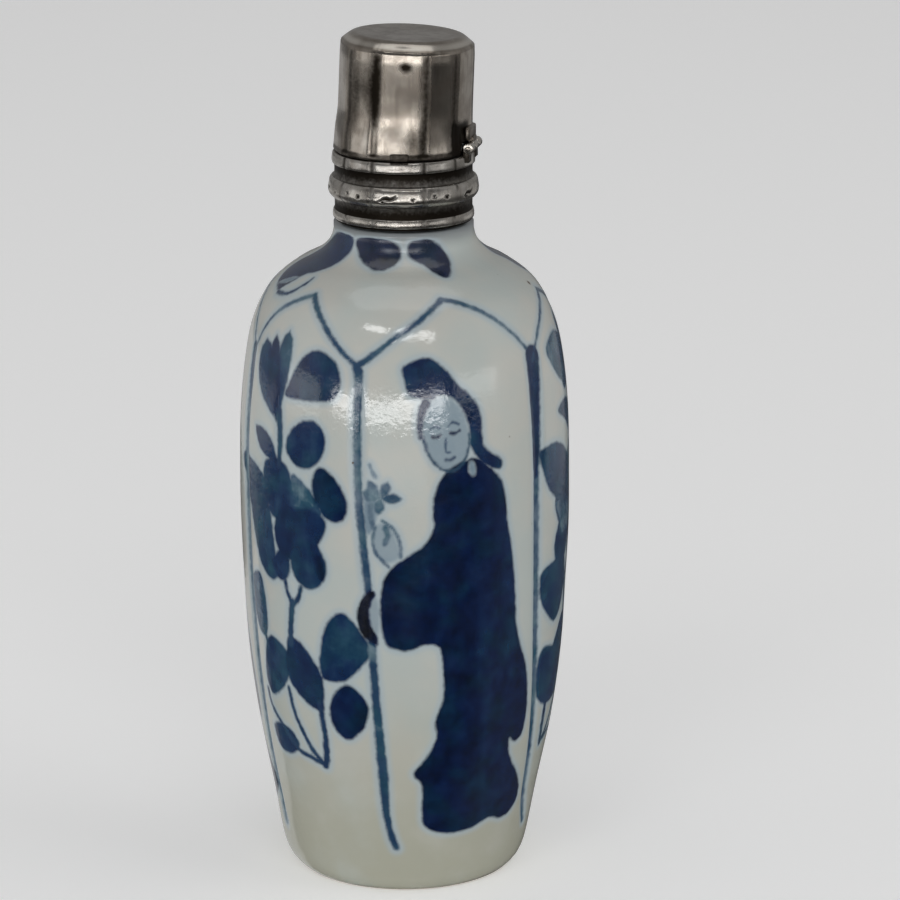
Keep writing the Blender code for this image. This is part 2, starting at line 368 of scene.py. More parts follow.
# %% Flower spray
def spray_stems():
    return [
        wash(leaf((-2.6, 48.8), (-5.5, 56.1), 3.3, -0.6, 0.66, 0.5), 0.64),
        wash(leaf((-1.9, 49.4), (-1.8, 57.5), 2.0, 0.0, 0.68, 0.5), 0.56),
        wash(leaf((-2.3, 48.4), (-3.7, 56.8), 2.2, -0.2, 0.6, 0.5), 0.8),
        line([(-2.0, 49.6), (-1.7, 47.0), (-1.9, 44.2)], 0.95, 0.6, 0.62),
        line([(-1.2, 32.6), (-0.9, 31.4), (-0.3, 30.3)], 0.5, 0.55, 0.72),
        line([(0.9, 32.4), (0.5, 31.2), (-0.2, 30.3)], 0.5, 0.6, 0.72),
        line([(-0.3, 30.6), (-0.6, 28.6), (-0.8, 26.2)], 0.85, 0.7, 0.6),
        wash(outline([(-8.0, 31.4), (-6.6, 32.4), (-5.4, 32.1), (-4.7, 30.0), (-4.5, 27.6),
                      (-5.0, 26.0), (-6.4, 26.2), (-7.6, 28.2), (-8.3, 30.2)]), 0.54),
        line([(-4.9, 27.0), (-5.0, 26.0), (-4.6, 24.9)], 0.4, 0.4, 0.55),
        wash(outline([(-4.9, 25.5), (-3.9, 26.3), (-2.8, 26.1), (-1.4, 25.3), (-0.8, 23.7),
                      (-1.8, 21.8), (-3.1, 20.5), (-4.6, 19.9), (-5.6, 21.4), (-5.4, 23.7)]),
             0.66),
        wash(outline([(-1.2, 26.6), (0.3, 26.7), (1.8, 25.3), (2.9, 23.5), (3.0, 21.4),
                      (2.6, 19.6), (0.9, 20.2), (-0.6, 21.4), (-1.6, 23.2)]), 0.82),
        line([(-5.6, 20.2), (-5.0, 18.4), (-3.4, 17.0), (-1.4, 14.9), (0.4, 14.3),
              (2.0, 13.9)], 0.5, 0.6, 0.6),
        line([(-1.5, 21.4), (-1.1, 19.1), (-0.3, 17.2), (0.8, 15.2), (2.0, 13.9)], 0.5, 0.6,
             0.62),
        line([(2.4, 20.6), (2.6, 17.4), (2.5, 15.0), (2.2, 13.7)], 0.6, 0.8, 0.68),
        wash(outline([(-5.3, 16.2), (-4.2, 16.9), (-2.8, 17.0), (-1.5, 16.4), (-0.9, 15.2),
                      (-1.9, 14.2), (-3.3, 13.8), (-4.7, 14.4)]), 0.7),
    ]


def spray_blossom():
    return [
        wash(outline([(-10.4, 43.4), (-9.0, 44.0), (-7.2, 43.7), (-5.6, 43.3), (-4.0, 42.0),
                      (-3.0, 38.0), (-2.4, 34.5), (-2.2, 32.9), (-3.4, 32.3), (-5.5, 33.7),
                      (-6.9, 36.8), (-8.0, 39.4), (-9.6, 41.4)]), 0.62),
        wash(outline([(-4.2, 44.2), (-2.2, 45.0), (-0.5, 44.0), (0.1, 41.9), (0.0, 39.6),
                      (-1.6, 38.6), (-3.6, 39.4), (-4.5, 42.0)]), 0.68),
        wash(outline([(-0.1, 43.6), (1.2, 43.2), (2.7, 41.8), (3.6, 40.2), (2.6, 39.2),
                      (0.6, 39.6), (-0.4, 41.4)]), 0.46),
        wash(oval(-1.6, 34.2, 2.4, 3.4, 10), 0.78),
        wash(outline([(-1.8, 40.0), (0.5, 40.3), (2.6, 40.6), (4.0, 39.3), (3.3, 37.4),
                      (1.9, 35.8), (-0.2, 34.9), (-1.9, 35.4), (-2.7, 37.6)]), 0.84),
        wash(outline([(0.3, 37.7), (2.0, 38.2), (3.3, 36.6), (4.0, 34.8), (3.4, 33.1),
                      (1.8, 32.3), (0.2, 33.2), (-0.4, 34.9), (-0.3, 36.5)]), 0.72),
        wash(oval(3.2, 34.7, 1.0, 2.6, -8), 1.0),
        wash(outline([(3.3, 44.9), (4.9, 44.0), (6.2, 41.9), (6.0, 40.1), (4.9, 39.5),
                      (3.6, 40.1), (2.6, 41.6), (2.4, 43.6)]), 0.92),
        wash(outline([(1.0, 49.1), (2.7, 49.3), (3.8, 48.0), (3.5, 45.9), (1.9, 44.5),
                      (0.1, 44.8), (-0.9, 46.2), (-0.4, 47.9)]), 0.76),
        wash(leaf((-2.0, 44.4), (-6.2, 47.4), 2.3, 0.1), 0.74),
    ]


def spray_leaves():
    return [
        wash(outline([(-1.2, 51.3), (-0.8, 52.6), (-0.1, 54.2), (0.9, 55.6), (2.2, 56.2),
                      (3.6, 55.8), (4.7, 54.8), (5.1, 53.4), (4.9, 52.2), (4.1, 51.5),
                      (1.6, 51.2)]), 0.8),
        wash(outline([(5.0, 30.3), (3.7, 29.0), (3.0, 26.8), (2.7, 24.4), (3.3, 23.1),
                      (5.4, 23.3), (7.2, 24.9), (8.3, 26.6), (7.1, 28.9), (6.0, 30.1)]), 0.74),
        wash(outline([(5.6, 22.9), (7.0, 22.0), (7.6, 20.5), (7.1, 18.6), (5.4, 17.0),
                      (4.0, 17.7), (3.4, 19.6), (4.1, 21.8)]), 0.92),
    ]


def side_leaves():
    """The broader leaves of the spray beside the hinge."""
    return [
        wash(outline([(-3.9, 54.6), (-2.2, 55.8), (-0.4, 56.0), (1.6, 54.8), (2.4, 52.6),
                      (1.8, 50.6), (0.2, 49.9), (-1.0, 51.0), (-2.5, 52.2)]), 0.6),
        wash(outline([(-2.8, 48.3), (-1.0, 49.1), (1.0, 48.8), (2.0, 47.0), (1.5, 45.2),
                      (-0.4, 46.8)]), 0.7),
        wash(outline([(-6.8, 44.8), (-5.2, 45.4), (-3.7, 45.4), (-1.6, 44.6), (0.6, 42.4),
                      (0.2, 39.4), (-1.8, 38.4), (-4.0, 39.8), (-5.7, 41.6)]), 0.74),
        wash(outline([(-3.8, 39.4), (-3.0, 37.2), (-2.0, 35.4), (0.4, 36.0), (0.9, 38.4)]), 0.5),
        wash(outline([(-1.6, 33.6), (-3.8, 33.3), (-6.2, 32.7), (-6.4, 31.0), (-5.9, 29.2),
                      (-4.4, 27.6), (-2.8, 26.7), (-0.9, 28.0), (0.2, 30.4), (-0.3, 32.6)]), 0.7),
        wash(outline([(-5.0, 24.4), (-5.6, 22.4), (-5.2, 20.0), (-4.3, 18.6), (-2.4, 17.8),
                      (0.4, 18.2), (1.2, 20.0), (0.4, 22.6), (-2.2, 24.0)]), 0.74),
    ]


# %% [markdown]
# ## The lady
# Each wide panel has a tall lady in a long dark robe, a stock figure of this painting. She is
# a few strokes of strong cobalt: hair in a knot with a tail down the back, robe with its full
# sleeve, and the black lining of the sleeve. Her head and hand are left nearly white. The face
# is a plain calm oval on schoolbook proportions: the eyes half-way down it, the nose half of the
# rest, and the mouth a third of the way from nose to chin. The hair closes round that oval.


# %% Lady in a long robe
HEAD_CENTRE, HEAD_WIDTH, HEAD_HEIGHT, HEAD_TILT = (-1.15, 48.6), 4.6, 7.4, -9.0


def on_face(u, v):
    """A point of the oval: `u` from -1 to 1 across it, `v` from -1 at the chin to 1 at the top."""
    lean = math.radians(HEAD_TILT)
    x, z = 0.5 * HEAD_WIDTH * u, 0.5 * HEAD_HEIGHT * v
    return (HEAD_CENTRE[0] + x * math.cos(lean) + z * math.sin(lean),
            HEAD_CENTRE[1] - x * math.sin(lean) + z * math.cos(lean))


def face_ring(start, end, count, size=1.0):
    """Points round the oval from one angle to another, in degrees."""
    turns = [math.radians(start + (end - start) * i / count) for i in range(count + 1)]
    return [on_face(size * math.cos(a), size * math.sin(a)) for a in turns]


def calm_face():
    """The oval face with its features spaced by rule."""
    eye = 0.0
    nose = (eye - 1.0) / 2
    mouth = nose - (nose + 1.0) / 3

    def feature(points, width, end_width, depth):
        return line([on_face(u, v) for u, v in points], width, end_width, depth)

    return [
        wash(face_ring(0, 345, 23), 0.15, "pale"),
        line(face_ring(178, 350, 9), 0.34, 0.24, 0.62),
        feature([(-0.66, eye + 0.2), (-0.44, eye + 0.26), (-0.24, eye + 0.19)], 0.2, 0.16, 0.62),
        feature([(0.14, eye + 0.19), (0.36, eye + 0.26), (0.6, eye + 0.18)], 0.2, 0.16, 0.62),
        feature([(-0.6, eye), (-0.42, eye - 0.03), (-0.24, eye)], 0.32, 0.24, 0.95),
        feature([(0.18, eye), (0.38, eye - 0.03), (0.58, eye)], 0.32, 0.24, 0.95),
        feature([(-0.06, eye - 0.12), (-0.14, nose + 0.06), (-0.02, nose)], 0.15, 0.2, 0.5),
        feature([(-0.2, mouth), (-0.02, mouth - 0.03), (0.17, mouth)], 0.32, 0.22, 0.72),
    ]


def lady_head():
    return [
        *calm_face(),
        wash(outline([(-5.2, 55.1), (-4.1, 55.7), (-2.7, 56.0), (-1.7, 55.5), (-0.8, 54.6),
                      (0.1, 53.4), (1.0, 52.6), (1.8, 51.7), (2.4, 50.6), (2.6, 49.4),
                      (2.65, 48.0), (2.8, 47.1), (3.6, 46.3), (4.4, 45.8), (4.9, 45.2),
                      (4.6, 44.5), (3.3, 44.9), (2.2, 45.7), *face_ring(-25, 110, 8, 1.03),
                      (-4.4, 52.3), (-4.9, 53.0), (-5.1, 54.0)]), 0.84),
        line(face_ring(125, 178, 3, 1.1), 0.95, 0.5, 0.84),
    ]


def lady_robe():
    robe = [(-1.2, 44.9), (-2.3, 43.0), (-2.6, 41.0), (-2.5, 39.4), (-3.3, 37.8), (-4.9, 36.6),
            (-6.4, 35.5), (-7.4, 34.0), (-7.7, 31.6), (-7.5, 28.8), (-6.8, 27.2), (-4.9, 26.8),
            (-3.2, 27.4), (-1.8, 27.0), (-1.4, 24.5), (-1.3, 21.6), (-2.0, 19.2), (-1.8, 17.4),
            (-2.8, 15.2), (-3.9, 13.6), (-3.0, 12.3), (-2.8, 10.0), (-2.5, 7.8), (-1.0, 6.8),
            (1.0, 6.6), (3.0, 6.9), (4.8, 7.5), (6.6, 7.0), (8.3, 7.6), (9.3, 9.2), (8.6, 11.4),
            (7.0, 13.8), (6.6, 16.0), (7.5, 15.4), (8.8, 16.1), (9.3, 19.0), (8.8, 23.0),
            (7.5, 26.4), (6.3, 31.0), (5.7, 36.0), (5.5, 39.2), (5.2, 42.0), (4.6, 43.6),
            (3.4, 44.9), (2.2, 45.9), (0.8, 45.9)]
    return [
        reserve(oval(-8.3, 30.1, 1.2, 4.4), 0.12),
        wash(outline(robe), 0.98),
        wash(leaf((3.6, 10.0), (3.4, 42.5), 2.0, -0.4), 0.9),
        wash(leaf((6.4, 16.5), (4.6, 42.5), 1.6, 0.5), 0.97),
        wash(leaf((0.2, 12.0), (0.0, 40.0), 1.8, 0.3), 0.98),
        wash(leaf((1.6, 9.0), (6.8, 10.4), 2.6), 0.92),
        wash(leaf((4.3, 44.2), (6.6, 22.0), 1.8, -0.2), 0.86),
        reserve(oval(1.45, 45.0, 0.75, 1.6, -8), 0.22),
        wash(outline([(-8.5, 32.9), (-9.4, 32.3), (-10.0, 30.9), (-9.95, 29.3), (-9.3, 28.0),
                      (-8.0, 27.2), (-7.9, 28.1), (-8.6, 29.2), (-8.8, 30.5), (-8.6, 31.7),
                      (-8.2, 32.4)]), 1.15, "line"),
    ]


def lady_hand_and_twig():
    return [
        wash(outline([(-8.3, 39.4), (-8.4, 37.2), (-7.5, 35.9), (-5.8, 36.4), (-6.3, 38.6),
                      (-7.0, 39.9)]), 0.14, "pale"),
        wash(oval(-8.7, 41.2, 1.4, 5.2, 4), 0.22, "pale"),
        line([(-8.2, 39.4), (-8.5, 38.0), (-8.1, 36.7), (-6.9, 35.4)], 0.34, 0.3, 0.45),
        line([(-7.5, 40.1), (-6.4, 39.2), (-5.8, 37.8), (-5.7, 36.4)], 0.32, 0.34, 0.42),
        line([(-7.2, 39.3), (-7.0, 38.5), (-7.3, 37.7)], 0.7, 0.5, 0.42),
        line([(-8.6, 41.6), (-8.7, 40.6), (-8.4, 39.2)], 0.6, 0.4, 0.38),
        wash(leaf((-7.6, 42.3), (-9.6, 42.8), 1.3), 0.46),
        wash(leaf((-7.8, 42.2), (-8.9, 44.1), 1.0), 0.4),
        wash(leaf((-7.6, 42.2), (-6.9, 44.0), 1.0), 0.45),
        wash(leaf((-7.7, 42.3), (-5.6, 42.3), 1.1), 0.5),
        wash(leaf((-7.7, 42.5), (-7.9, 40.7), 1.1), 0.42),
        line([(-8.7, 45.6), (-8.5, 45.0), (-8.2, 44.4)], 0.35, 0.4, 0.24),
    ]


# %% [markdown]
# ## Leaves on the shoulder, and the panel lines
# A few short leaves hang from the collar on to the shoulder. The panel lines are single long
# strokes that wander with the soft clay, swell where the brush was pressed and end in a small
# hook near the foot. Over each panel they meet in a pointed top.


# %% Shoulder leaves and panel lines
def shoulder_leaves():
    return [
        (-40.0, [wash(outline([(0.5, 65.9), (1.1, 65.1), (1.0, 64.1), (0.5, 63.1), (-0.5, 62.4),
                               (-1.9, 61.9), (-3.2, 60.9), (-4.4, 60.2), (-6.2, 60.7),
                               (-7.1, 61.5), (-6.4, 62.5), (-5.2, 63.5), (-3.3, 64.9),
                               (-1.4, 65.9)]), 0.84),
                 reserve(leaf((-5.6, 60.6), (-2.4, 61.6), 0.4), 0.3),
                 line([(-4.0, 60.1), (-2.0, 60.3), (-0.6, 61.2), (-0.2, 61.9)], 0.55, 0.3, 0.66)]),
        (0.0, [wash(outline([(-3.5, 65.4), (-1.9, 66.2), (-0.1, 65.9), (1.3, 64.9), (1.2, 63.7),
                             (-0.1, 63.1), (-1.5, 63.2), (-2.9, 64.0)]), 1.05)]),
        (30.0, [wash(outline([(-1.5, 65.4), (0.1, 66.0), (1.6, 65.0), (2.4, 63.7), (1.8, 62.6),
                              (0.8, 62.6), (-0.4, 63.4), (-1.7, 64.2)]), 1.0)]),
    ]


WIDE_ARCH = ([(-34.5, 54.0), (-35.6, 55.0), (-32.3, 55.6), (-27.2, 56.7), (-21.2, 57.9),
              (-13.5, 59.1), (-8.5, 59.9), (-1.5, 60.9)],
             [(-1.5, 60.9), (5.5, 60.6), (14.5, 59.7), (22.5, 58.3), (28.0, 56.9),
              (32.0, 55.7), (35.5, 54.5)])
NARROW_ARCH = ([(-31.0, 54.2), (-25.5, 56.8), (-20.0, 58.5), (-13.5, 59.7), (-2.5, 60.8)],
               [(-2.5, 60.8), (7.0, 58.9), (15.5, 56.9), (21.0, 55.7), (24.2, 55.0),
                (25.2, 54.0)])
HINGE_ARCH = ([(-24.0, 54.2), (-21.5, 55.4), (-16.5, 56.9), (-8.0, 58.4), (2.0, 59.8)],
              [(2.0, 59.8), (11.0, 58.8), (20.0, 56.8), (27.0, 54.2)])
LINE_WIDTHS = [(0.88, 0.72), (1.0, 0.65), (0.9, 0.8), (0.8, 0.8), (0.85, 0.8), (1.25, 0.9)]
# Width at the springing, half-way and at the peak, and depth, for a full brush and a dry one.
FULL_ARM, DRY_ARM = (0.82, 0.46, 0.66, 0.54), (0.36, 0.42, 0.6, 0.46)


def across(turn, centre, height):
    """Millimetres across from a centre heading at a height."""
    return math.radians(turn - centre) * float(side_radius(height))


def down_line(index, wobble):
    """The long line on a panel's left side, with its small hook near the foot."""
    start = line_start(index)
    path = []
    for height, hook in ((54.6, 0), (49.0, 0), (43.0, 0), (37.0, 0), (31.0, 0), (25.0, 0),
                         (19.0, 0), (13.0, 0), (9.0, 0), (6.6, 1.4), (5.2, 3.8)):
        turn = float(line_turn(index, height)) + hook + wobble.uniform(-0.25, 0.25)
        path.append((across(turn, start, height), height))
    long_line = line(path, *LINE_WIDTHS[index], 0.36 if index == 5 else 0.44)
    if index == 0:
        return start, [long_line, line(path[:2], 0.95, 0.75, 0.58),
                       line(path[5:8], 0.8, 1.05, 0.56), line(path[7:], 1.05, 0.3, 0.6)]
    if index == 1:
        return start, [long_line, line(path[:3], 2.3, 0.9, 0.78)]
    return start, [long_line, line(path[:2], LINE_WIDTHS[index][0], 0.7, 0.56)]


def arch_lines(index, centre):
    """The two arms of a panel's pointed top, fitted between its side lines."""
    shape = HINGE_ARCH if index == 1 else NARROW_ARCH if index % 2 else WIDE_ARCH
    ends = (shape[0][0][0], shape[1][-1][0])
    right = (index + 1) % 6
    sides = [degrees_off(float(line_turn(k, SPRING_Z)), centre) for k in (index, right)]
    peak = shape[0][-1][0]
    arms = []
    for is_left, arm, end, side in zip((True, False), shape, ends, sides):
        fit = (side - peak) / (end - peak)
        *widths, strength = FULL_ARM if is_left == (index % 2 == 0) else DRY_ARM
        first, middle, last = widths if is_left else widths[::-1]
        path = [(across(peak + (turn - peak) * fit, 0.0, z), z) for turn, z in arm]
        half = len(path) // 2
        arms += [line(path[:half + 1], first, middle, strength),
                 line(path[half:], middle, last, strength)]
    return arms


# %% Lay the strokes round the bottle
def moved(stroke, place, darker):
    """A copy of a stroke with `place` applied to its points and its cobalt made stronger."""
    copy = dict(stroke)
    for key in ("shape", "path"):
        if key in copy:
            copy[key] = [place(x, z) for x, z in copy[key]]
    copy["depth"] = stroke["depth"] + darker
    return copy


def redrawn(strokes, stretch, shift=0.0, paler=0.0):
    """The strokes with x stretched and shifted, and thinner cobalt; stretch -1 mirrors them."""
    return [moved(stroke, lambda x, z: (stretch * x + shift, z), -paler) for stroke in strokes]


def hand_varied(strokes, luck, shift):
    """Shift each stroke a little and vary its cobalt, as no two panels come out alike."""
    varied = []
    for stroke in strokes:
        dx, dz = luck.uniform(-shift, shift), luck.uniform(-shift, shift)
        varied.append(moved(stroke, lambda x, z: (x + dx, z + dz), luck.uniform(-0.04, 0.04)))
    return varied


# Panels 0, 2 and 4 hold the lady, and 1, 3 and 5 the spray; 0 and 5 face the front.
painting = []
frame_lines = []
luck = random.Random(7)
for index, (start, width) in enumerate(panels):
    centre = start + width / 2
    down_at, down = down_line(index, luck)
    frame_lines += [(down_at, stroke) for stroke in down]
    frame_lines += [(centre, stroke) for stroke in arch_lines(index, centre)]
    if index == 5:
        motif = spray_stems() + spray_blossom() + spray_leaves()
    elif index == 1:
        motif = redrawn(spray_stems() + spray_blossom()[:6], -1.0) + side_leaves()
        motif = redrawn(motif, 1.0, paler=0.04)
    elif index == 3:
        motif = hand_varied(spray_stems() + spray_blossom() + spray_leaves(), luck, 0.35)
    else:
        motif = lady_robe() + lady_head() + lady_hand_and_twig()
        if index == 2:
            motif = redrawn(hand_varied(motif, luck, 0.03), -1.0)
        elif index == 4:
            motif = redrawn(motif, 0.78, -1.0)
    painting += [(centre, stroke) for stroke in motif]
for turn in (0.0, 180.0):
    for centre, group in shoulder_leaves():
        painting += [(centre + turn, stroke) for stroke in group]
painting = frame_lines + painting
print("strokes:", len(painting))

# %% [markdown]
# ## Measuring the wall against the strokes
# Every point of the wall gets its distance to the nearest stroke's edge, below zero inside.
# The distance is taken in the point's own tangent plane, so a line is as wide on the narrow
# shoulder as on the belly. There is one distance for each kind of cobalt, and a depth of colour
# from the nearest stroke, or from the last one laid where they cross. Beyond REACH nothing is
# painted, so distances stop there.

# %% Distance to the strokes
# Lengths in mm: how far distances reach and strokes are looked for, how softly a stroke covers
# what is under it, and how much nearer it has to lie to give the colour beside it.
REACH, SEARCH_MARGIN, OVERLAP, NEARER = 1.2, 1.6, 0.3, 0.4
UNPAINTED_DEPTH = 0.6
LAYERS = ("pale", "deep", "line")


def wall_knots(centre, stroke):
    """A stroke's knots as headings in degrees and distances up the wall in mm."""
    points = np.array(stroke.get("shape", stroke.get("path")), float)
    turns = centre + np.degrees(points[:, 0] / side_radius(points[:, 1]))
    return np.stack([turns, run_to(points[:, 1])], axis=1)


def stroke_gap(turn, run, radius, stroke, knots):
    """Signed distance in mm from wall points to a stroke's edge."""
    closed = "shape" in stroke
    x = np.radians(knots[:, 0][None, :] - turn[:, None]) * radius[:, None]
    y = knots[:, 1][None, :] - run[:, None]
    count = len(knots) if closed else len(knots) - 1
    best = np.full(len(turn), 1e9)
    inside = np.zeros(len(turn), bool)
    for k in range(count):
        ax, ay = x[:, k], y[:, k]
        bx, by = x[:, (k + 1) % len(knots)], y[:, (k + 1) % len(knots)]
        dx, dy = bx - ax, by - ay
        along = np.clip(-(ax * dx + ay * dy) / np.maximum(dx * dx + dy * dy, 1e-12), 0.0, 1.0)
        gap = np.hypot(ax + along * dx, ay + along * dy)
        if closed:
            safe = np.where(np.abs(dy) < 1e-12, 1e-12, dy)
            inside ^= ((ay > 0) != (by > 0)) & (ax - ay * dx / safe > 0)
        else:
            share = (k + along) / count
            gap = gap - 0.5 * (stroke["width"] + (stroke["end_width"] - stroke["width"]) * share)
        best = np.minimum(best, gap)
    return np.where(inside, -best, best) if closed else best


def paint_wall(turn, height, strokes):
    """The wall's distance to each layer of paint, and its depth of colour."""
    edges = {name: np.full(len(turn), REACH) for name in LAYERS}
    depth = {name: np.full(len(turn), UNPAINTED_DEPTH) for name in LAYERS}
    run, radius = run_to(height), side_radius(height)
    for centre, stroke in strokes:
        knots = wall_knots(centre, stroke)
        local = degrees_off(turn, centre) + centre
        margin = np.degrees(SEARCH_MARGIN / radius)
        near = np.nonzero((local > knots[:, 0].min() - margin)
                          & (local < knots[:, 0].max() + margin)
                          & (run > knots[:, 1].min() - SEARCH_MARGIN)
                          & (run < knots[:, 1].max() + SEARCH_MARGIN))[0]
        if not len(near):
            continue
        gap = np.minimum(stroke_gap(local[near], run[near], radius[near], stroke, knots), REACH)
        layer = stroke["layer"]
        if layer == "reserve":
            for covered in ("deep", "line"):
                edges[covered][near] = np.maximum(edges[covered][near], -gap)
            layer = "pale"
        before = edges[layer][near]
        over = np.maximum(1 - smoothstep(-OVERLAP, OVERLAP, gap),
                          smoothstep(0.0, NEARER, before - gap))
        depth[layer][near] += over * (stroke["depth"] - depth[layer][near])
        edges[layer][near] = np.minimum(before, gap)
    return edges, depth


# %% [markdown]
# ## Building the body
# A mesh fine enough for a hair line everywhere would be far too heavy. So the body is turned
# from a coarse profile, and then only the faces near the edge of a stroke are subdivided. The
# new points are pushed back on to the true round wall, and the panel lines are pressed in.

# %% Turn the body
BODY_COLUMNS = 144
RING_SPACING = 0.7
# Where the front lady's face lies: from and to a heading in degrees, and a height in mm.
FACE_WINDOW = (12.0, 46.0, 44.0, 53.0)


def body_profile():
    recess_edge = FOOT_RADIUS - FOOT_RING
    recess = evenly([(0.0, FOOT_RECESS + 0.15), (recess_edge - 0.9, FOOT_RECESS)], 1.6)
    ring = [(recess_edge - 0.45, FOOT_RECESS - 0.25), (recess_edge - 0.15, 0.12),
            (recess_edge + 0.1, 0.0), (FOOT_RADIUS - 0.1, 0.0)]
    side = evenly(side_line[1:], RING_SPACING)
    neck = [(NECK_RADIUS, LEDGE_Z), (NECK_RADIUS, 69.0), (NECK_RADIUS, LIP_Z - 0.4)]
    lip = arc(NECK_RADIUS - 0.4, LIP_Z - 0.4, 0.4, 20, 90, 4)
    mouth = arc(BORE_RADIUS + 0.4, LIP_Z - 0.4, 0.4, 90, 180, 5)
    inner = smooth_through([(BORE_RADIUS, 66.0), (BORE_RADIUS + 0.3, 63.0), (6.2, 61.9),
                            (9.4, 60.3), (12.2, 57.6), (13.75, 52.0), (14.45, 42.0),
                            (13.9, 25.0), (11.9, 11.0), (10.6, 5.2)], 2)
    inside = inner + [(9.6, 3.9), (8.0, FLOOR_Z), (4.0, FLOOR_Z), (0.0, FLOOR_Z)]
    return recess + ring + side + neck + lip + mouth + inside


def wall_places(bm):
    """Radius, heading and height of every point, and which ones are on the outer wall."""
    radius, turn, height = round_places(bm)
    outer = (radius > side_radius(height) - 0.8 * WALL) & (height > 0.03) & (height < LEDGE_Z)
    return radius, turn, height, outer


def refine(bm, reach, only=None):
    """Subdivide the outer faces within `reach` of a stroke's edge; `only` keeps to a window."""
    radius, turn, height, outer = wall_places(bm)
    edges, _ = paint_wall(turn, height, painting)
    close = np.min([np.abs(edges[name]) for name in LAYERS], axis=0) < reach
    close &= outer
    if only:
        left, right, low, high = only
        close &= (turn > left) & (turn < right) & (height > low) & (height < high)
    bm.verts.index_update()
    chosen = {edge for face in bm.faces if any(close[v.index] for v in face.verts)
              and all(outer[v.index] for v in face.verts) for edge in face.edges}
    bmesh.ops.subdivide_edges(bm, edges=list(chosen), cuts=1, use_grid_fill=True)


bm = turned(body_profile(), BODY_COLUMNS, False)
print("turned body:", len(bm.verts), "points")
refine(bm, 0.5)
print("refined once:", len(bm.verts), "points")
refine(bm, 0.17)
print("refined twice:", len(bm.verts), "points")
refine(bm, 0.1, FACE_WINDOW)
print("face refined:", len(bm.verts), "points")


# %% Press the panels and paint the wall
def panel_drop(turn, height):
    """How far the wall lies below a panel's crest, mm."""
    drop = np.zeros(len(turn))
    for index in range(6):
        left, right = line_turn(index, height), line_turn((index + 1) % 6, height)
        width = (right - left) % 360.0
        along = (turn - left) % 360.0
        to_crest = np.minimum(along, width - along) / (width / 2)
        drop = np.where(along <= width, PANEL_SWELL * (1 - to_crest) ** 2, drop)
    return drop


radius, turn, height, outer = wall_places(bm)
edges, depth = paint_wall(turn, height, painting)
groove, _ = paint_wall(turn, height, frame_lines)
from_line = np.maximum(groove["line"] + 0.28, 0.0)
fade = smoothstep(2.5, 8.5, height) * (1 - smoothstep(SPRING_Z, PANEL_TOP_Z, height))
press = panel_drop(turn, height) * fade
line_depth = LINE_DEPTH * smoothstep(2.5, 7.0, height) * (1 - 0.8 * smoothstep(50.0, 54.5, height))
press = press + line_depth * np.exp(-(from_line / LINE_SPREAD) ** 2)
hand_made = soft_noise(bm, 0.11) * 0.12
new_radius = np.where(outer, side_radius(height) - press + hand_made * outer, radius)
for vert, r, a in zip(bm.verts, new_radius, np.radians(turn)):
    vert.co.x, vert.co.y = r * math.sin(a), -r * math.cos(a)
for face in bm.faces:
    face.material_index = 1 if max(v.co.z for v in face.verts) < 0.2 else 0
for name in LAYERS:
    edges[name] = np.where(outer, edges[name], REACH)
print("painted points:", int((np.min([edges[n] for n in LAYERS], axis=0) < 0).sum()))

# %% [markdown]
# ## Glazed porcelain
# The glaze is a clear, slightly grey-green glass over a white body, thicker and bluer along the
# cobalt. It is painted darker and olive towards the foot, a painted reflection of the table, and
# painted darker just under the collar, as painted shade. So the colour under it is mixed first:
# glaze tint, painted reflection and shade, then pale, deep and line cobalt, each cut from its
# distance with a little noise. One smooth shader with a glassy specular and a faint orange-peel
# bump then does the work of the glaze.

# %% Glaze and cobalt
GLAZE_WARM, GLAZE_COOL = (0.575, 0.575, 0.53), (0.515, 0.56, 0.535)
GLAZE_TABLE_REFLECTION, GLAZE_BLUE = (0.44, 0.44, 0.36), (0.42, 0.51, 0.56)
GLAZE_COLLAR_SHADE = (0.22, 0.24, 0.25)
BLACK_POOL = 1.2
COBALT_STEPS = [(0.0, (0.44, 0.50, 0.52)), (0.2, (0.24, 0.32, 0.38)), (0.5, (0.024, 0.068, 0.135)),
                (0.75, (0.006, 0.026, 0.085)), (0.95, (0.002, 0.011, 0.052)),
                (BLACK_POOL, (0.001, 0.003, 0.010))]
# Brown pinholes where iron in the clay burnt through: heading in degrees, height and size in mm.
PINHOLES = [(90.0, 60.6, 0.38), (63.0, 38.1, 0.26), (52.0, 47.5, 0.2), (151.0, 33.0, 0.25),
            (214.0, 55.0, 0.3), (283.0, 24.0, 0.24)]


def cobalt_colour(tree, strength):
    """Colour of cobalt, from a thin wash at 0 to a black pool."""
    scaled = maths(tree, "DIVIDE", strength, BLACK_POOL)
    ramp = node(tree, "ShaderNodeValToRGB", {"Fac": scaled})
    stops = ramp.color_ramp.elements
    stops[0].position, stops[1].position = 0.0, 1.0
    stops[0].color = (*COBALT_STEPS[0][1], 1.0)
    stops[1].color = (*COBALT_STEPS[-1][1], 1.0)
    for at, colour in COBALT_STEPS[1:-1]:
        stops.new(at / BLACK_POOL).color = (*colour, 1.0)
    return ramp.outputs[0]


def spot(tree, place, turn, height, size):
    """A round spot on the wall, 1 at its heart and 0 beyond its size."""
    a, r = math.radians(turn), float(side_radius(height))
    centre = (r * math.sin(a) * MM, -r * math.cos(a) * MM, height * MM)
    gap = node(tree, "ShaderNodeVectorMath", {0: place, 1: centre}, operation="DISTANCE")
    return ramp_value(tree, gap.outputs["Value"], size * MM, 0.3 * size * MM)


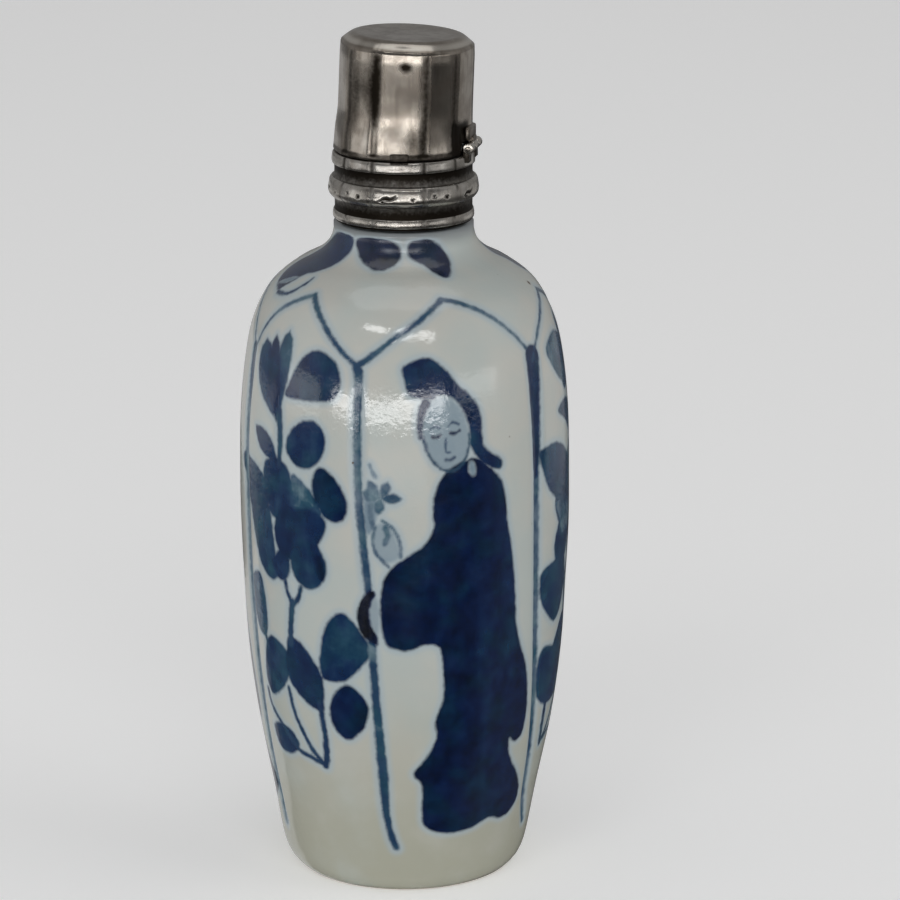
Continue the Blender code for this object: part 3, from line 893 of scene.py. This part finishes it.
def make_glaze():
    finish, tree, shader = new_finish("glazed_porcelain")
    place = node(tree, "ShaderNodeTexCoord").outputs["Object"]
    height_now = node(tree, "ShaderNodeSeparateXYZ", {0: place}).outputs[2]
    cloud = speckle(tree, place, 9.0, 3.0)
    colour = blend_colours(tree, ramp_value(tree, cloud, 0.35, 0.65), GLAZE_COOL, GLAZE_WARM)
    # Painted reflection of the table: the glaze is painted darker and olive towards the foot.
    low = maths(tree, "MULTIPLY", ramp_value(tree, height_now, 0.030, 0.002),
                ramp_value(tree, speckle(tree, place, 5.0, 3.0), 0.2, 0.6, 0.55, 1.0))
    colour = blend_colours(tree, low, colour, GLAZE_TABLE_REFLECTION)
    # Painted shade under the collar: the glaze is painted darker just below it.
    colour = blend_colours(tree, ramp_value(tree, height_now, 0.0644, 0.0665), colour, GLAZE_COLLAR_SHADE)
    bleed = speckle(tree, place, 0.7, 3.0)
    streak = speckle(tree, upright(tree, place, 0.25), 1.1, 2.0)
    pool = speckle(tree, place, 2.1, 3.0, 0.55)
    greener = ramp_value(tree, speckle(tree, place, 2.8, 2.0), 0.42, 0.68, 0.5, 0.475)
    near_paint = None
    matt = ramp_value(tree, height_now, 0.0628, 0.0650, 0.0, 0.14)
    for name in LAYERS:
        gap = attribute(tree, name + "_edge")
        near_paint = gap if near_paint is None else maths(tree, "MINIMUM", near_paint, gap)
    halo = ramp_value(tree, near_paint, 0.85, 0.05, 0.0, 0.75)
    colour = blend_colours(tree, halo, colour, GLAZE_BLUE)
    for name, soft, reach, mottle, dullness in (("pale", 0.3, 0.2, 0.15, 0.0),
                                                ("deep", 0.22, 0.3, 1.0, 0.03),
                                                ("line", 0.2, 0.35, 0.8, 0.1)):
        gap = attribute(tree, name + "_edge")
        strength = attribute(tree, name + "_depth")
        shaken = maths(tree, "ADD", gap, swing(tree, bleed, reach))
        mask = ramp_value(tree, shaken, soft, -soft)
        uneven = maths(tree, "ADD", swing(tree, streak, 0.2 * mottle),
                       swing(tree, pool, 0.6 * mottle))
        cobalt = node(tree, "ShaderNodeHueSaturation", {
            "Hue": 0.5 if name == "pale" else greener,
            "Color": cobalt_colour(tree, maths(tree, "ADD", strength, uneven))})
        colour = blend_colours(tree, mask, colour, cobalt.outputs[0])
        matt = maths(tree, "ADD", matt, maths(tree, "MULTIPLY", mask, dullness))
    cells = node(tree, "ShaderNodeTexVoronoi", {"Vector": place, "Scale": 170.0})
    tone = node(tree, "ShaderNodeSeparateColor", {0: cells.outputs["Color"]}).outputs[0]
    rare = maths(tree, "GREATER_THAN", tone, 0.72)
    pit = maths(tree, "MULTIPLY", rare, ramp_value(tree, cells.outputs["Distance"], 0.03, 0.015))
    for pinhole in PINHOLES:
        pit = maths(tree, "MAXIMUM", pit, spot(tree, place, *pinhole))
    colour = blend_colours(tree, pit, colour, (0.10, 0.07, 0.045))
    tree.links.new(colour, shader.inputs["Base Color"])
    peel = speckle(tree, place, 0.55, 3.0, 0.5)
    bump = node(tree, "ShaderNodeBump", {"Height": peel, "Strength": 0.3, "Distance": 0.00006})
    tree.links.new(bump.outputs[0], shader.inputs["Normal"])
    smear = ramp_value(tree, speckle(tree, place, 2.5, 4.0), 0.3, 0.7, 0.06, 0.12)
    tree.links.new(maths(tree, "ADD", smear, matt), shader.inputs["Roughness"])
    shader.inputs["IOR"].default_value = 1.85
    return finish


def make_biscuit():
    """Bare fired clay on the foot ring, where glaze would stick to the kiln shelf."""
    finish, tree, shader = new_finish("bare_foot_clay")
    place = node(tree, "ShaderNodeTexCoord").outputs["Object"]
    grain = speckle(tree, place, 0.6, 4.0, 0.7)
    colour = blend_colours(tree, ramp_value(tree, grain, 0.3, 0.7), (0.50, 0.41, 0.31),
                           (0.30, 0.22, 0.15))
    tree.links.new(colour, shader.inputs["Base Color"])
    shader.inputs["Roughness"].default_value = 0.8
    return finish


glaze = make_glaze()
biscuit = make_biscuit()
body = finish_piece("porcelain_body", bm, [glaze, biscuit], BOTTLE_BODY, ["bottle"])
for name in LAYERS:
    give_attribute(body, name + "_edge", edges[name])
    give_attribute(body, name + "_depth", depth[name])

# %% [markdown]
# ## Old silver
# Silver wears bright where fingers rub it and goes brown-black where they don't reach. Each
# silver piece carries an attribute `recess`, from 0 on the open metal to 1 deep in a groove,
# which darkens and dulls the metal. It carries painted shade as well as tarnish: the metal is
# painted dark between parts, in grooves, along the flute edges and round the hinge, where shade
# falls. Below 0 the metal is rubbed bright, as on a rim. Upright polishing streaks, fine
# scratches and a low, soft roughness do the rest.


# %% Silver finish
RUBBED_SILVER = (0.86, 0.81, 0.73)


def make_silver(name, bright, dull, smooth, dulled, soiled, grain):
    """Silver between two tones and roughnesses; recesses brown with tarnish and painted shade;
    rubbed bright.
    """
    finish, tree, shader = new_finish(name)
    place = node(tree, "ShaderNodeTexCoord").outputs["Object"]
    recess = attribute(tree, "recess")
    cloud = speckle(tree, place, 2.2, 5.0, 0.6)
    fine = speckle(tree, place, 0.35, 3.0, 0.6)
    metal = blend_colours(tree, ramp_value(tree, cloud, 0.38, 0.62), bright, dull)
    streak = speckle(tree, upright(tree, place, 0.14), 0.55, 3.0, 0.6)
    metal = blend_colours(tree, ramp_value(tree, streak, 0.45, 0.75, 0.0, 0.5), metal,
                          (0.20, 0.165, 0.13))
    # Tarnish and painted shade: the recess value, shaken by a little noise, paints the metal dark.
    tarnish_and_shade = maths(tree, "ADD", recess, swing(tree, fine, soiled))
    metal = blend_colours(tree, ramp_value(tree, tarnish_and_shade, 0.15, 0.9), metal, (0.030, 0.024, 0.018))
    metal = blend_colours(tree, ramp_value(tree, recess, -0.1, -1.0), metal, RUBBED_SILVER)
    tree.links.new(metal, shader.inputs["Base Color"])
    shader.inputs["Metallic"].default_value = 1.0
    worn = ramp_value(tree, cloud, 0.3, 0.75, smooth, dulled)
    rough = maths(tree, "ADD", worn, ramp_value(tree, recess, 0.0, 1.0, 0.0, 0.3), clamp=True)
    tree.links.new(rough, shader.inputs["Roughness"])
    scratch = speckle(tree, upright(tree, place, 0.4), 0.9, 3.0, 0.5)
    bump = node(tree, "ShaderNodeBump", {"Height": scratch, "Strength": 0.3, "Distance": grain})
    tree.links.new(bump.outputs[0], shader.inputs["Normal"])
    return finish


collar_silver = make_silver("collar_silver", (0.60, 0.57, 0.53), (0.47, 0.44, 0.40), 0.22, 0.3,
                            0.5, 0.000006)
lid_silver = make_silver("lid_silver", (0.46, 0.415, 0.36), (0.35, 0.305, 0.26), 0.17, 0.24,
                         0.45, 0.000012)

# %% [markdown]
# ## Flutes
# The lid was raised over a former with five wide and five narrow flats, and their edges are
# shallow grooves, painted as soft dark lines of painted shade. The same edges run on faintly
# down the collar, where they are painted dark on the beads. So both pieces share one measure:
# how far a heading lies from the nearest edge, and how wide its flat is.

# %% Shared measure of the flutes
FLUTE_PAIR, WIDE_FLUTE, FIRST_EDGE = 72.0, 42.5, -13.0


def flute_place(turn):
    """Degrees to the nearest edge between two flats, and half the width of the flat."""
    local = (turn - FIRST_EDGE) % FLUTE_PAIR
    wide = local < WIDE_FLUTE
    width = np.where(wide, WIDE_FLUTE, FLUTE_PAIR - WIDE_FLUTE)
    along = np.where(wide, local, local - WIDE_FLUTE)
    return np.minimum(along, width - along), width / 2


# %% [markdown]
# ## The collar
# The collar is one turned profile: a bead at the bottom, a bulging band, a deep groove, and a
# bead under the lid. Its bezel stands inside the lid. The band is chased with small curled
# leaves and dots, which are cut as real hollows, because they catch the light.

# %% Turn and engrave the collar
COLLAR_BOTTOM, COLLAR_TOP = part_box("collar")[0].z / MM, 73.45
BEZEL_RADIUS, BEZEL_BORE, BEZEL_TOP = 5.75, 5.15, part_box("collar")[1].z / MM
COLLAR_COLUMNS = 360
BAND_Z = 69.85


def collar_profile():
    lower_bead = evenly(smooth_through([(6.80, 66.76), (6.93, 66.84), (6.98, 67.08), (6.95, 67.43),
                                        (6.90, 67.62), (6.82, 67.68)], 6), 0.08)
    band = evenly(smooth_through([(6.86, 68.82), (7.06, 68.95), (7.32, 69.25), (7.43, 69.6),
                                  (7.38, 70.15), (7.30, 70.62), (7.16, 70.84), (6.92, 70.95)], 8),
                  0.08)
    upper_bead = evenly(smooth_through([(6.84, 72.2), (6.99, 72.26), (7.07, 72.4), (7.05, 72.8),
                                        (6.98, 73.25), (6.80, 73.38)], 6), 0.08)
    outside = ([(6.76, COLLAR_BOTTOM), (6.80, COLLAR_BOTTOM + 0.04), (6.76, 66.72)] + lower_bead
               + [(6.80, 67.78), (6.79, 68.0), (6.79, 68.3), (6.82, 68.74)] + band
               + [(6.86, 71.02), (6.82, 71.3), (6.81, 71.9), (6.82, 72.12)] + upper_bead
               + [(6.4, 73.42), (6.3, COLLAR_TOP)])
    rim = arc(BEZEL_RADIUS - 0.3, BEZEL_TOP - 0.3, 0.3, 0, 180, 8)
    bezel = [(BEZEL_RADIUS + 0.1, COLLAR_TOP), (BEZEL_RADIUS, COLLAR_TOP + 0.1)] + rim
    inside = [(BEZEL_BORE, LIP_Z + 0.3), (NECK_RADIUS + 0.3, LIP_Z + 0.3),
              (NECK_RADIUS + 0.3, COLLAR_BOTTOM)]
    return outside + bezel + inside


def chasing(turn, height):
    """Distance in mm to the curled leaf on each wide flat and to the dots beside it."""
    radius = 7.4
    local = (turn - FIRST_EDGE) % FLUTE_PAIR
    x = np.radians(local - 13.5) * radius
    rise = height - BAND_Z
    curl = rise - 0.3 * x + 0.12 * np.sin(x * 4.0)
    leaf_gap = np.hypot(curl, np.maximum(np.abs(x) - 0.8, 0.0)) - 0.13 + 0.1 * np.abs(x)
    vein = np.hypot(x + 0.5, rise + 0.33) - 0.12
    gaps = [leaf_gap, vein]
    for at, lift, size in ((33.0, -0.1, 0.09), (50.0, 0.15, 0.09), (61.0, -0.02, 0.15)):
        gaps.append(np.hypot(np.radians(local - at) * radius, rise - lift) - size)
    return np.min(gaps, axis=0)


bm = turned(collar_profile(), COLLAR_COLUMNS, True)
radius, turn, height = round_places(bm)
outside = radius > 6.5
on_band = outside & (height > 69.1) & (height < 70.8)
cut = np.where(on_band, 1 - smoothstep(-0.05, 0.14, chasing(turn, height)), 0.0)
to_edge, half = flute_place(turn)
edge_line = np.exp(-(to_edge / 2.4) ** 2) * outside * (radius > 6.82)
wear = soft_noise(bm, 1.3)
shrink = 0.07 * cut + 0.03 * edge_line - 0.02 * wear * outside
for vert, r, old in zip(bm.verts, radius - shrink, radius):
    vert.co.x, vert.co.y = vert.co.x * r / old, vert.co.y * r / old
# Tarnish and painted shade: the two grooves, the collar's foot on the neck and its top under the
# lid are painted dark.
lower_groove = (height > 67.68) * (height < 68.9) * (0.95 - 0.4 * smoothstep(67.9, 68.9, height))
upper_groove = (height > 70.9) * (height < 72.24) * (0.6 + 0.35 * smoothstep(71.0, 72.0, height))
groove_tarnish_and_shade = lower_groove + upper_groove + 0.95 * (height < 66.8) + 0.5 * (height > 73.34)
on_beads = outside * (groove_tarnish_and_shade == 0)
handled = 0.5 * np.exp(-((height - 69.8) / 0.7) ** 2) + 0.5 * np.exp(-((height - 67.2) / 0.3) ** 2)
# The flute edges on the beads are painted dark, as painted shade; the handled band and lower bead
# are rubbed bright.
collar_tarnish_and_shade = 0.9 * cut + groove_tarnish_and_shade * outside + (0.7 * edge_line - handled * (1 - cut)) * on_beads
collar_tarnish_and_shade = np.clip(collar_tarnish_and_shade, -0.7, 1.0)
collar = finish_piece("silver_collar", bm, [collar_silver], BOTTLE_BODY, ["collar"])
give_attribute(collar, "recess", collar_tarnish_and_shade)

# %% [markdown]
# ## The lid
# The lid is turned too, then its wall is flattened between the flute edges, so each flat
# reflects like a narrow mirror. It has had knocks: a few dents are pressed in, and the tube
# leans a little to its hinge. Two small slots at the hinge leave room for the collar's knuckles.
# The metal round the hinge is painted nearly black with tarnish and painted shade, and painted
# shade also darkens the flute edges and the lid's mouth.

# %% Turn, flute and dent the lid
LID_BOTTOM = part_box("lid")[0].z / MM
LID_TOP = 85.0
LID_MOUTH, LID_WALL, LID_LEAN = 7.05, 0.8, 2.3
LID_COLUMNS = 360
joint = frame["joints"][0]
HINGE_X, HINGE_Z = joint["pos_m"][0] / MM, joint["pos_m"][2] / MM
KNUCKLE_RADIUS, KNUCKLE_HALF, BARREL_HALF = 0.52, 0.75, 2.2
PIN_RADIUS, PIN_HALF = 0.26, 2.33
CATCH_TURN, CATCH_HALF, CATCH_FRONT, CATCH_BACK = 9.5, 0.9, -7.12, -6.6
# Knocks in the lid: heading in degrees, height, spread and depth in mm.
DENTS = [(12.0, 82.6, 0.35, 0.012), (21.0, 75.4, 1.2, 0.03), (17.0, 79.0, 1.2, 0.02),
         (-30.0, 79.5, 1.1, 0.05), (58.0, 75.8, 1.0, 0.05), (140.0, 80.0, 1.3, 0.09),
         (200.0, 76.5, 1.2, 0.07), (262.0, 82.0, 0.9, 0.06), (318.0, 77.5, 1.0, 0.06)]

# Patches on the lid: heading, height, spread in degrees and in mm, and strength. Those at the
# back are tarnish that polishing left. Those on the front are tarnish with painted shade, and the
# one with a strength below 0 is a bright patch, a painted highlight.
TARNISH_SHADE_AND_SHEEN = [(20.0, 75.6, 7.0, 1.6, 0.42), (4.0, 79.0, 9.0, 0.9, 0.14),
           (13.0, 82.2, 9.0, 0.55, 0.4), (14.0, 75.2, 14.0, 1.2, 0.2),
           (-19.0, 80.4, 12.0, 3.4, 0.55), (-34.0, 79.5, 5.0, 4.5, 0.5),
           (-18.0, 75.3, 7.0, 1.5, -0.7),
           (42.0, 79.0, 12.0, 4.5, 0.2), (130.0, 77.0, 16.0, 3.0, 0.25),
           (212.0, 80.0, 18.0, 3.0, 0.22), (290.0, 77.0, 14.0, 2.5, 0.2)]


def lid_profile():
    inner = LID_MOUTH - LID_WALL
    mouth = arc(LID_MOUTH - 0.16, LID_BOTTOM + 0.16, 0.16, -90, 0, 4)
    wall = evenly(smooth_through([(LID_MOUTH, LID_BOTTOM + 0.25), (6.97, 74.5), (6.89, 75.8),
                                  (6.79, 77.5), (6.77, 79.6), (6.755, 82.6), (6.747, 83.1),
                                  (6.722, 83.5), (6.69, 84.05)], 6), 0.26)
    seam = [(6.63, 84.14), (6.57, 84.2), (6.52, 84.25)]
    rim = evenly(smooth_through([(6.47, 84.29), (6.28, 84.43), (5.95, 84.65), (5.6, 84.86),
                                 (5.35, 84.95), (5.1, LID_TOP)], 6), 0.12)
    top = evenly([(5.05, LID_TOP), (0.0, LID_TOP - 0.05)], 0.6)
    inside = [(0.0, LID_TOP - LID_WALL), (3.0, LID_TOP - LID_WALL), (5.2, LID_TOP - LID_WALL),
              (5.6, 83.6), (inner - 0.1, 76.5), (inner, 75.0), (inner, LID_BOTTOM + 0.1),
              (inner + 0.1, LID_BOTTOM)]
    return inside + mouth + wall + seam + rim + top


def slot_lift(y, height):
    """Lift the lid's lower edge over the collar's two knuckles."""
    low, high = KNUCKLE_HALF - 0.06, BARREL_HALF + 0.3
    inside = smoothstep(low, low + 0.08, np.abs(y)) * (1 - smoothstep(high, high + 0.08, np.abs(y)))
    edge, top = LID_BOTTOM, LID_BOTTOM + 2.4
    raised = HINGE_Z + KNUCKLE_RADIUS + 0.12
    share = np.clip((top - height) / (top - edge), 0.0, 1.0)
    return inside * share * (raised - edge)


bm = turned(lid_profile(), LID_COLUMNS, False)
co = np.array([v.co[:] for v in bm.verts])
radius, turn, height = round_places(bm)
outer = ((height > 84.0) & (radius > 5.2)) | ((height > 75.0) & (radius > 6.3)) | (radius > 6.6)
to_edge, half = flute_place(turn)
fluted = outer * (1 - smoothstep(84.3, 84.9, height))
flat = 1 - np.cos(np.radians(half)) / np.cos(np.radians(half - to_edge))
scoop = 0.65 + 0.35 * smoothstep(74.4, 78.0, height) - 0.15 * smoothstep(78.0, 83.0, height)
press = 0.75 * radius * flat * scoop * fluted + 0.13 * np.exp(-(to_edge / 4.2) ** 2) * fluted
for at, z, size, deep in DENTS:
    away = np.radians(degrees_off(turn, at)) * 6.8
    press = press + outer * deep * np.exp(-(away ** 2 + (height - z) ** 2) / size ** 2)
ripple = soft_noise(bm, 0.5)
by_hinge = (np.exp(-(((turn - 73.0) / 15.0) ** 4)) * outer
            * (1 - smoothstep(76.4, 77.5, height)))
press = press + 0.008 * ripple * outer + 0.1 * by_hinge
new_radius = radius - press
lifted = height + slot_lift(co[:, 1], height) * (co[:, 0] > 0) * (height < 77.0)
for vert, r, z, a in zip(bm.verts, new_radius, lifted, np.radians(turn)):
    lean = math.radians(LID_LEAN) * float(smoothstep(74.3, 77.5, z))
    x, y, rise = r * math.sin(a), -r * math.cos(a), z - LID_BOTTOM
    vert.co = (x * math.cos(lean) + rise * math.sin(lean), y,
               LID_BOTTOM + rise * math.cos(lean) - x * math.sin(lean))
seam = outer * np.exp(-((height - 84.2) / 0.09) ** 2)
# Painted shade: the shallow grooves at the flute edges are painted as soft dark lines.
flute_edge_shade = np.exp(-(to_edge / 4.2) ** 2) * outer * smoothstep(73.7, 74.1, height)
flute_edge_shade = flute_edge_shade * (1 - smoothstep(83.7, 84.0, height))
across_dot = np.radians(degrees_off(turn, 12.0)) * 6.5
dot = outer * np.exp(-(across_dot / 0.7) ** 2 - ((height - 82.75) / 0.4) ** 2)
rubbed = outer * np.exp(-((height - 84.5) / 0.4) ** 2)
tarnish_shade_and_sheen = np.zeros(len(turn))
# Patches of tarnish and painted shade, and one painted highlight.
for at, z, wide, high, strength in TARNISH_SHADE_AND_SHEEN:
    aside = degrees_off(turn, at)
    tarnish_shade_and_sheen += outer * strength * np.exp(-(aside / wide) ** 2 - ((height - z) / high) ** 2)
# Painted shade at the lid's mouth, where it closes on the collar.
mouth_edge_shade = 0.6 * (radius > 6.2) * (1 - smoothstep(73.95, 74.25, height))
# The metal round the hinge is painted nearly black with tarnish and painted shade; the seam and the
# dot are darker, and the rim is rubbed bright.
lid_tarnish_and_shade = np.clip(0.62 * flute_edge_shade + 0.45 * seam + 0.95 * by_hinge + 0.9 * dot + tarnish_shade_and_sheen
                     + mouth_edge_shade, -0.7, 1.0) - 0.75 * rubbed
lid = finish_piece("silver_lid", bm, [lid_silver], LID_BODY, ["lid"])
give_attribute(lid, "recess", lid_tarnish_and_shade)

# %% [markdown]
# ## The hinge and the catch
# Three knuckles share one pin: the outer two are soldered to the collar with a strap below,
# and the middle one to the lid with a leaf above. They are short rods and small blocks with
# bevelled edges. The lid's knuckle has no bore here, so the pin simply runs through it. Apart
# from the pin, the lid's pieces stay clear of the collar's as it swings. In front, two small tabs
# meet over the seam, to push against with a thumbnail.


# %% Knuckles, leaf, straps, pin and catch
def rod(radius, low, high, sides=40, bevel=0.06):
    """A rod along the hinge axis with its end edges bevelled."""
    bm = bmesh.new()
    place = (Matrix.Translation((HINGE_X, (low + high) / 2, HINGE_Z))
             @ Matrix.Rotation(math.radians(90), 4, "X"))
    bmesh.ops.create_cone(bm, cap_ends=True, segments=sides, radius1=radius, radius2=radius,
                          depth=high - low, matrix=place)
    ends = [e for e in bm.edges if abs(e.verts[0].co.y - e.verts[1].co.y) < 1e-4]
    bmesh.ops.bevel(bm, geom=ends, offset=bevel, segments=3, profile=0.5, affect="EDGES",
                    material=-1)
    return bm


def small_block(low, high, bevel, turn=0.0):
    """A block with rounded edges, turned about the bottle's axis by `turn` degrees."""
    bm = bmesh.new()
    centre = [(a + b) / 2 for a, b in zip(low, high)]
    size = [b - a for a, b in zip(low, high)]
    bmesh.ops.create_cube(bm, size=1.0, matrix=Matrix.Rotation(math.radians(turn), 4, "Z")
                          @ Matrix.Translation(centre) @ Matrix.Diagonal((*size, 1.0)))
    bmesh.ops.bevel(bm, geom=bm.edges[:], offset=bevel, segments=3, profile=0.5,
                    affect="EDGES", material=-1)
    return bm


def fitting(name, bm, body_name, tarnish_and_shade, replaces=()):
    piece = finish_piece(name, bm, [lid_silver], body_name, replaces)
    give_attribute(piece, "recess", [tarnish_and_shade] * len(piece.data.vertices))


# Each fitting gets one darkness: above 0 tarnish and painted shade, below 0 rubbed bright.
inner_end = KNUCKLE_HALF + 0.12
for side, low, high in (("near", -BARREL_HALF, -inner_end), ("far", inner_end, BARREL_HALF)):
    fitting("collar_knuckle_" + side, rod(KNUCKLE_RADIUS, low, high), BOTTLE_BODY, -0.6)
    strap = small_block((6.4, low + 0.1, 72.7), (7.05, high - 0.1, HINGE_Z - 0.1), 0.08)
    fitting("collar_strap_" + side, strap, BOTTLE_BODY, 0.75)
fitting("lid_knuckle", rod(KNUCKLE_RADIUS, -KNUCKLE_HALF, KNUCKLE_HALF), LID_BODY, -0.6)
leaf_low = HINGE_Z + KNUCKLE_RADIUS + 0.14
fitting("lid_leaf", small_block((6.4, -1.6, leaf_low), (7.0, 1.6, 76.1), 0.26), LID_BODY, 0.45)
fitting("lid_tongue", small_block((6.5, -0.72, HINGE_Z + 0.05), (7.2, 0.72, leaf_low + 0.3),
                                  0.06), LID_BODY, 0.5)
fitting("pin", rod(PIN_RADIUS, -PIN_HALF, PIN_HALF, 24, 0.08), BOTTLE_BODY, 0.1, ["hinge_pin"])
for name, low, high, body_name in (("lid_catch", LID_BOTTOM + 0.02, 74.2, LID_BODY),
                                   ("collar_catch", 73.3, LID_BOTTOM - 0.06, BOTTLE_BODY)):
    tab = small_block((-CATCH_HALF, CATCH_FRONT, low), (CATCH_HALF, CATCH_BACK, high), 0.1,
                      CATCH_TURN)
    fitting(name, tab, body_name, 0.7)

# %% [markdown]
# ## Floor, camera and light
# The bottle stands on a plain pale floor. Polished silver shows whatever surrounds it, so the
# floor is kept out of the reflections and the room is a soft grey, darker in front and below.
# The camera looks down, so an upright wall mirrors what lies low in front of it. Long low panes
# of light stand there, 2 m away, and give the bright lower flutes and the broken strip on the
# glaze. Two more panes hang high for the glints on the shoulder, and dim ones stand behind for
# the sides. Each pane is given by the angles of its edges, because that is what a mirror sees.
# The floor glows a little, as a sheet lit from below does, and lights the foot of the bottle.

# %% Floor
FLOOR_SIZE, FLOOR_GLOW = 60.0, 0.28


def make_floor():
    bm = bmesh.new()
    bmesh.ops.create_grid(bm, x_segments=1, y_segments=1, size=FLOOR_SIZE / 2)
    mesh = bpy.data.meshes.new("floor")
    bm.to_mesh(mesh)
    bm.free()
    finish, tree, shader = new_finish("pale_floor")
    shader.inputs["Base Color"].default_value = (0.93, 0.93, 0.93, 1.0)
    shader.inputs["Roughness"].default_value = 0.9
    shader.inputs["Emission Color"].default_value = (1.0, 1.0, 1.0, 1.0)
    shader.inputs["Emission Strength"].default_value = FLOOR_GLOW
    mesh.materials.append(finish)
    floor = bpy.data.objects.new("floor", mesh)
    bpy.context.scene.collection.objects.link(floor)
    floor.visible_glossy = False
    floor.visible_shadow = False


make_floor()

# %% Camera
VIEW_TURN = 13.0
VIEW_DISTANCE, VIEW_HEIGHT = 4.89, 1.82
VIEW_PITCH, VIEW_SIDE = 15.07, 0.63
LENS, SENSOR = 172.0, 36.0

object_height = LID_TOP * MM
turn_view = math.radians(VIEW_TURN)
away = VIEW_DISTANCE * object_height
camera_data = bpy.data.cameras.new("camera")
camera_data.lens, camera_data.sensor_width = LENS, SENSOR
camera = bpy.data.objects.new("camera", camera_data)
camera.location = (away * math.sin(turn_view), -away * math.cos(turn_view),
                   VIEW_HEIGHT * object_height)
camera.rotation_euler = (math.radians(90 - VIEW_PITCH), 0.0, turn_view - math.radians(VIEW_SIDE))
bpy.context.scene.collection.objects.link(camera)
bpy.context.scene.camera = camera
print("camera %.0f mm from the axis" % (away / MM))


# %% Lights
def soft_box(name, turn, lift, distance, width, height, brightness, mirrored_in_gloss=True):
    """A soft box aimed at the bottle; turn and lift are degrees as seen from the bottle."""
    data = bpy.data.lights.new(name, "AREA")
    data.shape = "RECTANGLE"
    data.size, data.size_y = width, height
    data.energy = brightness * width * height * math.pi
    box = bpy.data.objects.new(name, data)
    target = Vector((0.0, 0.0, 0.6 * object_height))
    a, e = math.radians(VIEW_TURN + turn), math.radians(lift)
    offset = Vector((math.sin(a) * math.cos(e), -math.cos(a) * math.cos(e), math.sin(e)))
    box.location = target + offset * distance
    box.rotation_euler = offset.to_track_quat("Z", "Y").to_euler()
    box.visible_glossy = mirrored_in_gloss
    bpy.context.scene.collection.objects.link(box)


PANE_AWAY = 2.0


def pane(name, left, right, low, high, brightness):
    """A window pane by the angles of its four sides as seen from the bottle."""
    width = 2 * PANE_AWAY * math.tan(math.radians((right - left) / 2))
    height = 2 * PANE_AWAY * math.tan(math.radians((high - low) / 2))
    soft_box(name, (left + right) / 2, (low + high) / 2, PANE_AWAY, width, height, brightness)


pane("low_pane_left", -92, -58, -7, 1, 0.75)
pane("low_pane_middle", -48, 30, -5.4, -0.7, 4.4)
pane("low_pane_right", 38, 72, -3.5, 4.0, 0.8)
pane("floor_pane_middle", -30, 14, -15, -9, 0.45)
pane("back_pane_left", -175, -105, -16, -7, 0.36)
pane("back_pane_right", 112, 150, -16, -4, 0.26)
pane("floor_pane_left", -178, -134, -40, -18, 0.4)
pane("high_pane_left", -33, -17, 36, 42, 4.0)
pane("high_pane_middle", -2, 24, 34, 40, 4.0)
soft_box("overhead", 0, 88, 1.2, 1.1, 0.7, 0.5)
soft_box("front_fill", -10, 30, 1.4, 1.6, 0.9, 0.8, mirrored_in_gloss=False)
soft_box("left_fill", -75, 5, 1.4, 1.0, 1.0, 0.4, mirrored_in_gloss=False)
soft_box("right_fill", 75, 35, 1.4, 1.0, 1.0, 0.7, mirrored_in_gloss=False)

ROOM_FRONT, ROOM_SIDE, ROOM_BACK = 0.09, 0.32, 0.24
world = bpy.data.worlds.new("room")
world.use_nodes = True
bpy.context.scene.world = world
room = world.node_tree
sky = node(room, "ShaderNodeTexCoord").outputs["Generated"]
facing = node(room, "ShaderNodeMapping", {"Vector": sky,
              "Rotation": (0.0, 0.0, -turn_view)}).outputs[0]
axes = node(room, "ShaderNodeSeparateXYZ", {0: facing})
round_room = node(room, "ShaderNodeValToRGB", {"Fac": ramp_value(room, axes.outputs[1], -1.0, 1.0)})
stops = round_room.color_ramp.elements
stops[0].position, stops[1].position = 0.08, 1.0
stops[0].color = (ROOM_FRONT, ROOM_FRONT, ROOM_FRONT, 1.0)
stops[1].color = (ROOM_BACK, ROOM_BACK, ROOM_BACK, 1.0)
for at in (0.32, 0.62):
    stops.new(at).color = (ROOM_SIDE, ROOM_SIDE, ROOM_SIDE, 1.0)
low_dark = ramp_value(room, axes.outputs[2], -0.22, 0.05, 0.25, 1.0)
high_dark = ramp_value(room, axes.outputs[2], 0.5, 0.95, 1.0, 0.65)
room.links.new(round_room.outputs[0], room.nodes["Background"].inputs["Color"])
room.links.new(maths(room, "MULTIPLY", low_dark, high_dark),
               room.nodes["Background"].inputs["Strength"])
bpy.context.scene.view_settings.view_transform = "Standard"
